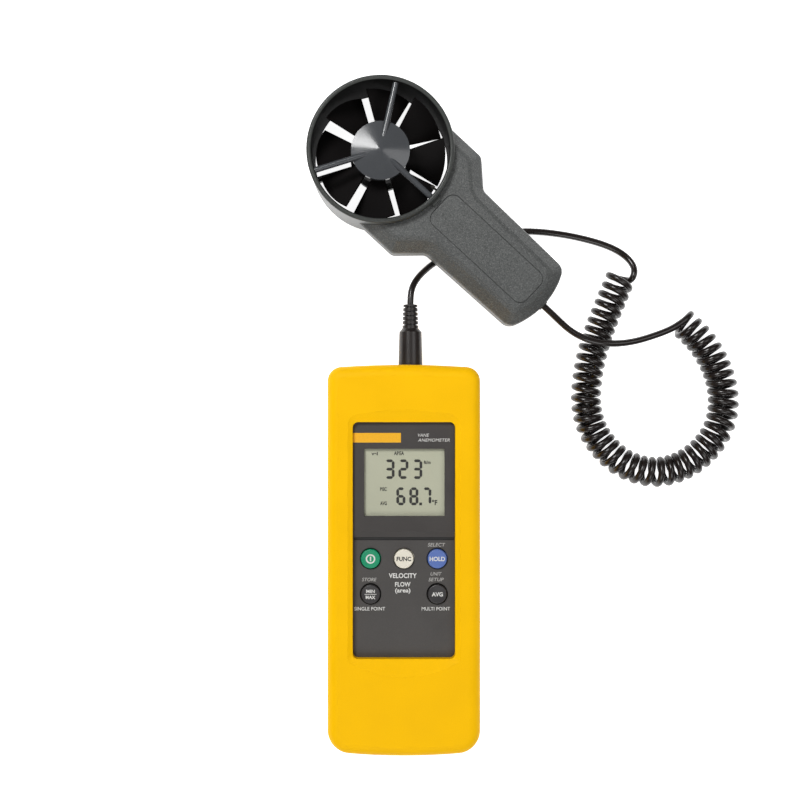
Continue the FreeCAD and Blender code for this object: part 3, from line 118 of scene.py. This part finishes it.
class Finish:
    """A material under construction: its node tree and its main shader."""

    def __init__(self, name, roughness, fixed=None):
        """fixed holds shader values that are the same all over the surface."""
        self.material = bpy.data.materials.new(name)
        self.material.use_nodes = True
        self.tree = self.material.node_tree
        self.shader = self.tree.nodes["Principled BSDF"]
        self.shader.inputs["Roughness"].default_value = roughness
        for socket, value in (fixed or {}).items():
            self.shader.inputs[socket].default_value = value
        self.place = self.node("ShaderNodeTexCoord").outputs["Object"]

    def node(self, kind, inputs=None, **settings):
        """A new node, with each input linked to a socket or set to a value."""
        made = self.tree.nodes.new(kind)
        for name, value in settings.items():
            setattr(made, name, value)
        for name, value in (inputs or {}).items():
            if isinstance(value, bpy.types.NodeSocket):
                self.tree.links.new(value, made.inputs[name])
            else:
                made.inputs[name].default_value = value
        return made

    def link(self, output, socket):
        """Feeds a shader socket, by its name."""
        self.tree.links.new(output, self.shader.inputs[socket])

    def noise(self, feature, detail=2, roughness=0.5):
        """Noise whose lumps are about feature across, from 0 to 1."""
        return self.node("ShaderNodeTexNoise", {
            "Vector": self.place, "Scale": 1 / feature, "Detail": detail, "Roughness": roughness,
        }).outputs["Fac"]

    def stretched(self, value, low, high, new_low=0.0, new_high=1.0):
        """The value with low and high moved to the new ends, and clamped there."""
        return self.node("ShaderNodeMapRange", {
            "Value": value, "From Min": low, "From Max": high, "To Min": new_low, "To Max": new_high,
        }).outputs["Result"]

    def mixed(self, factor, first, second):
        """A colour between first and second, each a socket or a linear colour."""
        mix = self.node("ShaderNodeMix", data_type="RGBA")
        self.tree.links.new(factor, mix.inputs["Factor"])
        for socket, value in ((6, first), (7, second)):
            if isinstance(value, bpy.types.NodeSocket):
                self.tree.links.new(value, mix.inputs[socket])
            else:
                mix.inputs[socket].default_value = value
        return mix.outputs[2]

    def bump(self, height, depth):
        """Relief from a height of 0 to 1, depth high."""
        made = self.node("ShaderNodeBump", {"Height": height, "Distance": depth, "Strength": 1.0})
        self.link(made.outputs["Normal"], "Normal")


def moulded(name, colour, roughness, grain, depth, spread, fixed=None):
    """Plastic or rubber from a mould: faint cloudy colour, a fine grain, and uneven gloss."""
    finish = Finish(name, roughness, fixed)
    clouds = finish.noise(18 * MM, detail=3)
    fine = finish.noise(grain, detail=3, roughness=0.6)
    both = finish.node("ShaderNodeMath", {0: clouds, 1: fine}, operation="MULTIPLY").outputs[0]
    shade = finish.stretched(both, 0.12, 0.4)
    finish.link(finish.mixed(shade, scaled(colour, 1 - spread), scaled(colour, 1 + spread)), "Base Color")
    finish.link(finish.stretched(clouds, 0.3, 0.7, roughness - 0.06, roughness + 0.06), "Roughness")
    finish.bump(fine, depth)
    return finish.material


def probe_material():
    """The handle's spark-eroded plastic: light and dark flecks on a coarse matt grain."""
    roughness = 0.5
    finish = Finish("probe_plastic", roughness)
    grey = linear(76, 78, 77)
    flecks = finish.noise(0.55 * MM, detail=4, roughness=0.75)
    clouds = finish.noise(22 * MM)
    base = finish.mixed(finish.stretched(clouds, 0.3, 0.7), scaled(grey, 0.93), scaled(grey, 1.07))
    lit = finish.mixed(finish.stretched(flecks, 0.53, 0.68), base, linear(116, 117, 116))
    both = finish.mixed(finish.stretched(flecks, 0.47, 0.34), lit, linear(50, 51, 50))
    finish.link(both, "Base Color")
    finish.link(finish.stretched(flecks, 0.3, 0.7, roughness + 0.1, roughness - 0.08), "Roughness")
    finish.bump(flecks, 0.09 * MM)
    return finish.material


def ring_material():
    """The duct: satin dark grey outside, and painted shade, near black, on the wall that faces the vane."""
    finish = Finish("ring_plastic", 0.4, {"Specular IOR Level": 0.22})
    painted_shade_ends, skin_starts = 31.25 * MM, 31.6 * MM
    low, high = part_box("front_bearing")
    axis = (low + high) / 2
    away = finish.node("ShaderNodeVectorMath", {0: finish.place, 1: (axis.x, axis.y, 0)},
                       operation="SUBTRACT")
    flat = finish.node("ShaderNodeVectorMath", {0: away.outputs[0], 1: (1, 1, 0)}, operation="MULTIPLY")
    radius = finish.node("ShaderNodeVectorMath", {0: flat.outputs[0]}, operation="LENGTH").outputs["Value"]
    outside = finish.stretched(radius, painted_shade_ends, skin_starts)
    grain = finish.noise(0.4 * MM, detail=3)
    grey = linear(64, 66, 64)
    skin = finish.mixed(finish.stretched(grain, 0.35, 0.65), scaled(grey, 0.93), scaled(grey, 1.07))
    # painted shade: the inner wall of the duct, which is the same grey plastic, is coloured near black
    finish.link(finish.mixed(outside, linear(3, 2, 2), skin), "Base Color")
    finish.link(finish.stretched(outside, 0, 1, 0.95, 0.34), "Roughness")
    finish.bump(grain, 0.01 * MM)
    return finish.material


def metal(name, colour, roughness):
    """Bare metal with fine turning marks and a little tarnish."""
    finish = Finish(name, roughness, {"Metallic": 1.0})
    marks = finish.noise(0.3 * MM, detail=4, roughness=0.7)
    stain = finish.noise(4 * MM, detail=3)
    finish.link(finish.mixed(finish.stretched(stain, 0.35, 0.7), colour, scaled(colour, 0.8)), "Base Color")
    finish.link(finish.stretched(marks, 0.3, 0.7, roughness - 0.08, roughness + 0.12), "Roughness")
    finish.bump(marks, 0.01 * MM)
    return finish.material


def printed(name, colour, roughness):
    """Ink: almost flat, a little thinner in places."""
    finish = Finish(name, roughness)
    patches = finish.noise(0.5 * MM, detail=3, roughness=0.6)
    thinner = finish.stretched(patches, 0.3, 0.75)
    finish.link(finish.mixed(thinner, colour, scaled(colour, 0.86)), "Base Color")
    return finish.material


def display_material():
    """The display's greenish grey reflector, with a faint satin grain."""
    finish = Finish("display_grey", 0.35)
    grey = linear(199, 200, 176)
    cloud = finish.noise(30 * MM, detail=1)
    grain = finish.noise(0.25 * MM)
    base = finish.mixed(finish.stretched(cloud, 0.3, 0.7), scaled(grey, 0.96), scaled(grey, 1.05))
    finish.link(finish.mixed(finish.stretched(grain, 0.4, 0.62), base, scaled(grey, 0.94)), "Base Color")
    finish.bump(grain, 0.01 * MM)
    return finish.material


def clear_material():
    """The display's window: clear acrylic with a faint haze."""
    finish = Finish("clear_window", 0.04, {"Alpha": 0.06})
    haze = finish.noise(3 * MM)
    finish.link(finish.stretched(haze, 0.3, 0.7, 0.03, 0.08), "Roughness")
    finish.link(finish.mixed(haze, (0.1, 0.1, 0.1, 1), (0.16, 0.17, 0.16, 1)), "Base Color")
    return finish.material


def board_material():
    """Solder mask with the weave of the glass cloth and tracks just showing under it."""
    finish = Finish("board_green", 0.35)
    green = linear(22, 92, 48)
    weave = finish.node("ShaderNodeTexBrick", {
        "Vector": finish.place, "Scale": 260.0, "Mortar Size": 0.04,
        "Color1": scaled(green, 1.25), "Color2": green, "Mortar": scaled(green, 0.6),
    }).outputs["Color"]
    blotches = finish.noise(5 * MM)
    finish.link(finish.mixed(finish.stretched(blotches, 0.45, 0.55), weave, scaled(green, 0.8)), "Base Color")
    finish.bump(blotches, 0.03 * MM)
    return finish.material


MOULDED = {
    # finish: material name, screen colour, roughness, grain and relief in mm, spread of the colour
    "boot_rubber": ("boot_yellow", (252, 193, 2), 0.52, 0.5, 0.03, 0.035),
    "case_black": ("case_plastic", (26, 24, 24), 0.5, 0.5, 0.05, 0.06),
    "panel_dark": ("panel_plastic", (56, 52, 50), 0.5, 0.35, 0.05, 0.1),
    "panel_light": ("keypad_plastic", (66, 63, 61), 0.52, 0.35, 0.06, 0.12),
    "silicone": ("grey_silicone", (150, 150, 148), 0.6, 0.6, 0.03, 0.06),
    "chip_black": ("chip_epoxy", (38, 38, 40), 0.55, 0.2, 0.03, 0.06),
    "battery_wrap": ("battery_wrap", (60, 66, 78), 0.35, 1.5, 0.01, 0.06),
    "wire_red": ("wire_red", (170, 30, 26), 0.4, 1, 0.01, 0.06),
    "plug_black": ("plug_rubber", (30, 24, 22), 0.38, 0.4, 0.02, 0.08),
    "key_green": ("green_key", (0, 140, 98), 0.42, 0.3, 0.02, 0.05),
    "key_cream": ("cream_key", (228, 222, 206), 0.45, 0.3, 0.02, 0.04),
    "key_blue": ("blue_key", (86, 112, 178), 0.42, 0.3, 0.02, 0.05),
    "key_dark": ("dark_key", (47, 45, 46), 0.4, 0.3, 0.02, 0.06),
    "spider_grey": ("spider_plastic", (72, 74, 77), 0.17, 0.6, 0.006, 0.04),
    "vane_black": ("vane_plastic", (13, 10, 10), 0.62, 0.5, 0.01, 0.06),
    "thermistor_glass": ("thermistor_bead", (46, 44, 40), 0.2, 0.5, 0.005, 0.06),
    "cord_black": ("cord_jacket", (26, 20, 18), 0.24, 0.5, 0.006, 0.1),
    "floor": ("pale_floor", (250, 250, 250), 0.7, 2, 0.01, 0.01),
}

FIXED_VALUES = {
    "boot_rubber": {"Specular IOR Level": 0.08},
    "vane_black": {"Specular IOR Level": 0.15},
    "floor": {"Emission Color": WHITE, "Emission Strength": 0.92},
}

INKS = {
    # ink: screen colour, roughness
    "white_ink": ((222, 221, 217), 0.45),
    "grey_ink": ((178, 176, 172), 0.45),
    "black_ink": ((44, 40, 40), 0.45),
    "orange_ink": ((246, 180, 0), 0.6),
    "segment_ink": ((36, 35, 30), 0.5),
}

# CAD nodes that look different from the rest of their slot
OTHER_FINISHES = {"keypad_panel": "panel_light", "duct_ring": "probe_ring"}


def make_materials():
    """Every finish, by the name of its slot or by a name of its own."""
    made = {
        "clear_lens": clear_material(),
        "lcd_grey": display_material(),
        "board_green": board_material(),
        "probe_plastic": probe_material(),
        "probe_ring": ring_material(),
        "steel": metal("plated_steel", linear(196, 196, 194), 0.3),
        "contact_metal": metal("gilt_contacts", linear(214, 178, 104), 0.25),
    }
    for finish, (name, colour, roughness, grain, depth, spread) in MOULDED.items():
        made[finish] = moulded(name, linear(*colour), roughness, grain * MM, depth * MM, spread,
                               FIXED_VALUES.get(finish))
    for ink, (colour, roughness) in INKS.items():
        made[ink] = printed(ink, linear(*colour), roughness)
    return made


def give(piece, finish):
    """Replaces all of a piece's materials by one finish."""
    piece.data.materials.clear()
    piece.data.materials.append(materials[finish])


def dress_frame():
    """Every CAD node gets the finish of its slot in the record, or a closer one of its own."""
    for part in frame["record"]["subparts"]:
        name = part["node"]
        finish = OTHER_FINISHES.get(name, part["material_slot"])
        give(frame["nodes"][name], finish)


# ---------------------------------------------------------------- building blocks

def add_piece(name, data, finish, body):
    """A new piece in the scene: its finish, and the CAD body it rides on."""
    piece = bpy.data.objects.new(name, data)
    bpy.context.scene.collection.objects.link(piece)
    give(piece, finish)
    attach(piece, body)
    return piece


def rectangle(low_x, low_y, high_x, high_y):
    """A flat outline, from its lower left corner round to its upper left one."""
    return [(low_x, low_y), (high_x, low_y), (high_x, high_y), (low_x, high_y)]


def prism(mesh, outline, low, high):
    """Adds an upright prism over a flat outline to a bmesh."""
    foot = [mesh.verts.new((x, y, low)) for x, y in outline]
    head = [mesh.verts.new((x, y, high)) for x, y in outline]
    mesh.faces.new(reversed(foot))
    mesh.faces.new(head)
    for index in range(len(outline)):
        following = (index + 1) % len(outline)
        mesh.faces.new((foot[index], foot[following], head[following], head[index]))


def mesh_from(build, name):
    """A mesh that build(bmesh) fills."""
    made = bmesh.new()
    build(made)
    bmesh.ops.recalc_face_normals(made, faces=made.faces)
    data = bpy.data.meshes.new(name)
    made.to_mesh(data)
    made.free()
    return data


# ---------------------------------------------------------------- cord

CORD_RADIUS = 1.55 * MM
TURN_RADIUS = 5.65 * MM
TURNS = 46.7
POINTS_A_TURN = 16
FIRST_ANGLE = math.radians(205)

# the turns' uneven spacing: how far they shift, as a share of the coil, and waves along the coil
BUNCHING = ((0.0022, 4), (0.0007, 11))

# heights of the cord's middle line in the routes, which are all in millimetres
COIL_HEIGHT = 7.22
ON_FLOOR = 1.6

# along the middle of the coil, from the end nearest the plug round to the end nearest the handle
COIL_ROUTE = in_metres([(x, y, COIL_HEIGHT) for x, y in (
    (102.3, 130.5), (98.3, 121.1), (94.2, 111.2), (90.2, 100.4), (87.3, 89.7), (85.7, 78.9),
    (85.4, 69.0), (87.9, 59.1), (93.3, 50.6), (100.9, 43.4), (109.9, 39.3), (118.9, 38.0),
    (127.9, 39.8), (136.9, 44.7), (144.5, 52.4), (149.0, 61.4), (150.3, 70.8), (149.4, 79.8),
    (146.3, 88.8), (141.8, 96.9), (136.0, 104.0), (130.1, 109.0),
)])

# out of the handle's end and over the coil in a low hump, to the top of the coil's first turn
HANDLE_LEAD_ROUTE = in_metres([
    (64.69, 115.46, 15.75), (69.09, 111.38, 15.75), (76.0, 104.4, 16.9), (83.0, 100.2, 18.6),
    (90.6, 98.2, 19.2), (98.6, 97.9, 18.6), (107.1, 99.2, 16.4), (115.8, 101.8, 14.2),
    (124.1, 104.9, 13.0),
])

# from the coil's last turn round onto the surface, under the handle, and up into the plug
PLUG_LEAD_ROUTE = in_metres([
    (108.5, 130.9, 6.0), (108.9, 134.9, 4.3), (106.3, 139.3, 2.7), (101.2, 143.2, 1.9),
    (94.2, 146.2, ON_FLOOR), (85.6, 148.6, ON_FLOOR), (76.0, 150.6, ON_FLOOR), (65.8, 151.9, ON_FLOOR),
    (55.8, 152.3, ON_FLOOR), (46.0, 150.9, ON_FLOOR), (36.0, 147.9, ON_FLOOR), (26.4, 143.8, ON_FLOOR),
    (18.5, 139.6, 2.2), (13.2, 136.0, 4.2), (9.4, 132.4, 8.0), (6.2, 128.6, 12.2), (4.0, 124.6, 15.3),
    (3.05, 120.2, 16.5), (3.05, 116.0, 16.5),
])


def nurbs(name, points, resolution):
    """A curve of one open, smooth NURBS spline with these control points."""
    data = bpy.data.curves.new(name, "CURVE")
    data.dimensions = "3D"
    data.resolution_u = resolution
    spline = data.splines.new("NURBS")
    spline.points.add(len(points) - 1)
    for control, place in zip(spline.points, points):
        control.co = (*place, 1)
    spline.order_u = 3
    spline.use_endpoint_u = True
    return data


def line_along(points):
    """The points that the spline with these control points runs through."""
    data = nurbs("route", points, resolution=24)
    holder = bpy.data.objects.new("route", data)
    mesh = bpy.data.meshes.new_from_object(holder)
    line = [vertex.co.copy() for vertex in mesh.vertices]
    bpy.data.objects.remove(holder)
    bpy.data.meshes.remove(mesh)
    bpy.data.curves.remove(data)
    return line


def wound(line):
    """Control points of a helix round the line, its turns bunched a little here and there."""
    reached = [0.0]
    for before, after in zip(line, line[1:]):
        reached.append(reached[-1] + (after - before).length)
    # the spline runs inside its control points, so they lie a little outside the turn
    radius = TURN_RADIUS / math.cos(math.pi / POINTS_A_TURN)
    count = round(TURNS * POINTS_A_TURN)
    points = []
    index = 0
    for step in range(count + 1):
        share = step / count
        shift = sum(amount * math.sin(2 * math.pi * waves * share) for amount, waves in BUNCHING)
        distance = (share + shift) * reached[-1]
        while index < len(line) - 2 and reached[index + 1] < distance:
            index += 1
        run = line[index + 1] - line[index]
        centre = line[index] + run * ((distance - reached[index]) / run.length)
        side = run.cross(UP).normalized()
        angle = FIRST_ANGLE + 2 * math.pi * TURNS * share
        points.append(centre + radius * (math.cos(angle) * side + math.sin(angle) * UP))
    return points


def make_cord():
    """The whole cord on one spline: out of the handle, round the coil, and into the plug."""
    coil = wound(line_along(COIL_ROUTE))
    points = HANDLE_LEAD_ROUTE + coil[::-1] + PLUG_LEAD_ROUTE
    data = nurbs("curly_cord", points, resolution=4)
    data.bevel_depth = CORD_RADIUS
    data.bevel_resolution = 4
    data.use_fill_caps = True
    cord = add_piece("curly_cord", data, "cord_black", "probe")
    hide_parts("lead_to_handle", "coil_cord", "lead_to_plug")


# ---------------------------------------------------------------- print on the panels

INK = 0.03 * MM
CAPITAL_SHARE = 0.73
LETTER_SPACING = 1.03
SLANT = 0.22

# how much the letters' strokes are thickened, as a share of a capital's height
THIN = 0.0
LIGHT = 0.012
HEAVY = 0.035
KEY_WEIGHT = 0.045
DISPLAY_WEIGHT = 0.05


def make_text(name, words, x, y, z, height, width, finish, body, weight, slant=0.0):
    """Words printed on a surface at z, centred on x, y; height is that of a capital letter."""
    data = bpy.data.curves.new(name, "FONT")
    data.body = words
    data.align_x = "CENTER"
    data.align_y = "CENTER"
    data.size = height / CAPITAL_SHARE
    data.shear = slant
    data.extrude = INK / 2
    data.space_character = LETTER_SPACING
    data.offset = weight * height
    holder = bpy.data.objects.new(name + "_curve", data)
    mesh = bpy.data.meshes.new_from_object(holder)
    bpy.data.objects.remove(holder)
    bpy.data.curves.remove(data)
    mesh.name = name
    xs = [vertex.co.x for vertex in mesh.vertices]
    ys = [vertex.co.y for vertex in mesh.vertices]
    stretch = width / (max(xs) - min(xs))
    middle = Vector(((max(xs) + min(xs)) / 2, (max(ys) + min(ys)) / 2, 0))
    mesh.transform(Matrix.Translation((x, y, z + INK / 2))
                   @ Matrix.Diagonal((stretch, 1, 1, 1)) @ Matrix.Translation(-middle))
    return add_piece(name, mesh, finish, body)


PANEL_PRINT = [
    # words, middle x and y, capital height and width in mm, ink, weight, slant
    ("SELECT", 14.7, 6.9, 1.65, 7.9, "grey_ink", LIGHT, SLANT),
    ("STORE", -15.6, -8.75, 1.6, 6.6, "grey_ink", LIGHT, SLANT),
    ("UNIT", 14.5, -6.2, 1.6, 5.0, "grey_ink", LIGHT, SLANT),
    ("SETUP", 14.5, -8.75, 1.6, 6.9, "grey_ink", LIGHT, SLANT),
    ("VELOCITY", -0.5, -7.0, 2.15, 12.6, "white_ink", HEAVY, 0),
    ("FLOW", -0.5, -10.9, 2.0, 7.0, "white_ink", HEAVY, 0),
    ("(area)", -0.5, -13.9, 1.9, 6.9, "white_ink", HEAVY, 0),
    ("SINGLE POINT", -15.4, -21.9, 1.6, 13.9, "white_ink", LIGHT, 0),
    ("MULTI POINT", 14.4, -21.9, 1.6, 12.8, "white_ink", LIGHT, 0),
]

# two lines that start at the same left edge: words, middle y and width in mm
BEZEL_PRINT = [("VANE", 56.3, 5.0), ("ANEMOMETER", 54.1, 14.3)]
BEZEL_PRINT_LEFT = 6.3
BEZEL_PRINT_HEIGHT = 1.45

STRIP_RIGHT = -1.35 * MM
STRIP_BOTTOM = 53.0 * MM
STRIP_TOP = 57.3 * MM


def make_panel_print():
    """The words round the keys, and the heading beside the orange strip."""
    panel_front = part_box("keypad_panel")[1].z
    for number, (words, x, y, height, width, ink, weight, slant) in enumerate(PANEL_PRINT):
        make_text("panel_print_%d" % number, words, x * MM, y * MM, panel_front, height * MM, width * MM,
                  ink, "meter", weight, slant)
    bezel_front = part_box("display_bezel")[1].z
    for number, (words, y, width) in enumerate(BEZEL_PRINT):
        make_text("bezel_print_%d" % number, words, (BEZEL_PRINT_LEFT + width / 2) * MM, y * MM, bezel_front,
                  BEZEL_PRINT_HEIGHT * MM, width * MM, "white_ink", "meter", THIN, SLANT)


def make_strip():
    """The orange strip printed across the bezel's upper left corner, left blank."""
    low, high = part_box("display_bezel")
    outline = rectangle(low.x, STRIP_BOTTOM, STRIP_RIGHT, STRIP_TOP)
    data = mesh_from(lambda mesh: prism(mesh, outline, high.z, high.z + INK), "orange_strip")
    add_piece("orange_strip", data, "orange_ink", "meter")


# ---------------------------------------------------------------- figures and words on the display

BAR_WIDTH = 1.25 * MM
BAR_GAP = 0.08 * MM
POINT_SPACE = 0.35 * MM

# The seven bars of a digit: each lies along x or y between two grid points of a 1 x 2 cell.
BARS = {
    "a": ((0, 2), (1, 2)), "b": ((1, 2), (1, 1)), "c": ((1, 1), (1, 0)), "d": ((0, 0), (1, 0)),
    "e": ((0, 1), (0, 0)), "f": ((0, 2), (0, 1)), "g": ((0, 1), (1, 1)),
}
LIT_BARS = {"2": "abged", "3": "abgcd", "6": "afgecd", "7": "abc", "8": "abcdefg"}

DISPLAY_WORDS = [
    # words, middle x and y, capital height and width in mm
    ("vel", -13.2, 47.9, 1.5, 2.9),
    ("AREA", -2.2, 48.1, 1.7, 4.6),
    ("ft/m", 10.5, 44.0, 1.5, 3.1),
    ("REC", -9.2, 31.9, 1.6, 3.0),
    ("AVG", -9.2, 25.5, 1.6, 3.0),
    ("°F", 13.9, 25.9, 2.2, 2.4),
]


def bar_outline(start, end):
    """A bar with pointed ends, which stops a gap short of each of two points."""
    half = BAR_WIDTH / 2
    along = (end - start).normalized()
    across = Vector((-along.y, along.x))
    start = start + along * BAR_GAP
    end = end - along * BAR_GAP
    return [start, start + (along - across) * half, end - (along + across) * half, end,
            end - (along - across) * half, start + (along + across) * half]


def make_number(name, digits, left, bottom, width, height, pitch, point_after=None):
    """A row of seven-bar digits on the display's glass, with a point after one of them."""
    glass_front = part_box("lcd_glass")[1].z

    def build(mesh):
        for place, digit in enumerate(digits):
            for bar_name in LIT_BARS[digit]:
                ends = [Vector((left + place * pitch + BAR_WIDTH / 2 + x * (width - BAR_WIDTH),
                                bottom + BAR_WIDTH / 2 + y * (height - BAR_WIDTH) / 2))
                        for x, y in BARS[bar_name]]
                prism(mesh, bar_outline(ends[0], ends[1]), glass_front, glass_front + INK)
        if point_after is not None:
            x = left + point_after * pitch + width + POINT_SPACE
            dot = rectangle(x, bottom, x + BAR_WIDTH, bottom + BAR_WIDTH)
            prism(mesh, dot, glass_front, glass_front + INK)
    add_piece(name, mesh_from(build, name), "segment_ink", "meter")


def make_display_marks():
    """The two readings on the display, and the small words round them."""
    make_number("upper_number", "323", left=-8.7 * MM, bottom=36.5 * MM, width=4.5 * MM, height=8.8 * MM,
                pitch=6.25 * MM)
    make_number("lower_number", "687", left=-3.4 * MM, bottom=24.6 * MM, width=4.1 * MM, height=8.1 * MM,
                pitch=5.85 * MM, point_after=1)
    glass_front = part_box("lcd_glass")[1].z
    for number, (words, x, y, height, width) in enumerate(DISPLAY_WORDS):
        make_text("display_word_%d" % number, words, x * MM, y * MM, glass_front, height * MM, width * MM,
                  "segment_ink", "meter", DISPLAY_WEIGHT)


# ---------------------------------------------------------------- marks on the keys

KEY_RADIUS = 4.35 * MM
KEY_DISH = 0.35 * MM
KEY_RIM = 30.1 * MM
KEY_MIDDLE = KEY_RIM - KEY_DISH

KEY_MARKS = [
    # key, body, words, ink, capital height, width, and rise above the key's middle, in mm
    ("func_button", "func_key", "FUNC", "black_ink", 1.9, 6.6, 0.0),
    ("hold_button", "hold_key", "HOLD", "white_ink", 1.9, 6.9, 0.0),
    ("average_button", "average_key", "AVG", "white_ink", 1.8, 5.0, 0.0),
    ("min_max_button", "min_max_key", "MIN", "white_ink", 1.45, 3.9, 1.35),
    ("min_max_button", "min_max_key", "MAX", "white_ink", 1.45, 4.3, -1.35),
]

LINE_HALF_LENGTH = 2.7 * MM
LINE_HALF_WIDTH = 0.12 * MM

POWER_RING_OUTSIDE = 2.15 * MM
POWER_RING_INSIDE = 1.5 * MM
POWER_RING_STEPS = 48
POWER_BAR_HALF_WIDTH = 0.3 * MM
POWER_BAR_HALF_HEIGHT = 1.05 * MM


def key_centre(name):
    """The middle of a key's box."""
    low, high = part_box(name)
    return (low + high) / 2


def onto_key(mesh, centre):
    """Bends flat marks up from the middle of the key's dished front towards its rim."""
    for vertex in mesh.vertices:
        away = min(1, math.hypot(vertex.co.x - centre.x, vertex.co.y - centre.y) / KEY_RADIUS)
        vertex.co.z += KEY_DISH * away


def make_key_words():
    """The words on four of the keys."""
    for key, body, words, ink, height, width, rise in KEY_MARKS:
        centre = key_centre(key)
        mark = make_text(key + "_" + words.lower(), words, centre.x, centre.y + rise * MM, KEY_MIDDLE,
                         height * MM, width * MM, ink, body, KEY_WEIGHT)
        onto_key(mark.data, centre)


def make_key_line():
    """The line between the two words on the min and max key."""
    centre = key_centre("min_max_button")
    across = (-1, -0.5, 0, 0.5, 1)
    corners = [(x, -1) for x in across] + [(x, 1) for x in reversed(across)]
    line = [(centre.x + x * LINE_HALF_LENGTH, centre.y + y * LINE_HALF_WIDTH) for x, y in corners]
    data = mesh_from(lambda mesh: prism(mesh, line, KEY_MIDDLE, KEY_MIDDLE + INK), "min_max_line")
    onto_key(data, centre)
    add_piece("min_max_line", data, "white_ink", "min_max_key")


def make_power_symbol():
    """A ring with a short upright bar in it."""
    centre = key_centre("power_button")
    low, high = KEY_MIDDLE, KEY_MIDDLE + INK
    corners = ((POWER_RING_OUTSIDE, low), (POWER_RING_INSIDE, low), (POWER_RING_INSIDE, high),
               (POWER_RING_OUTSIDE, high))
    angles = [2 * math.pi * step / POWER_RING_STEPS for step in range(POWER_RING_STEPS)]

    def build(mesh):
        rings = []
        for radius, z in corners:
            rings.append([mesh.verts.new((centre.x + radius * math.cos(angle),
                                          centre.y + radius * math.sin(angle), z)) for angle in angles])
        for first, second in zip(rings, rings[1:] + rings[:1]):
            for step in range(POWER_RING_STEPS):
                following = (step + 1) % POWER_RING_STEPS
                mesh.faces.new((first[step], first[following], second[following], second[step]))
        bar = rectangle(centre.x - POWER_BAR_HALF_WIDTH, centre.y - POWER_BAR_HALF_HEIGHT,
                        centre.x + POWER_BAR_HALF_WIDTH, centre.y + POWER_BAR_HALF_HEIGHT)
        prism(mesh, bar, low, high)
    data = mesh_from(build, "power_symbol")
    onto_key(data, centre)
    add_piece("power_symbol", data, "white_ink", "power_key")


# ---------------------------------------------------------------- surroundings

FLOOR_HALF = 60.0
FLOOR_HEIGHT = -0.02 * MM


def make_floor():
    """A plain white surface that runs out to the horizon."""
    corners = rectangle(-FLOOR_HALF, -FLOOR_HALF, FLOOR_HALF, FLOOR_HALF)

    def build(mesh):
        mesh.faces.new([mesh.verts.new((x, y, FLOOR_HEIGHT)) for x, y in corners])
    floor = bpy.data.objects.new("floor", mesh_from(build, "floor"))
    bpy.context.scene.collection.objects.link(floor)
    give(floor, "floor")


make_camera()
materials = make_materials()
make_cord()
make_light()
make_floor()
dress_frame()
make_panel_print()
make_strip()
make_display_marks()
make_key_words()
make_key_line()
make_power_symbol()
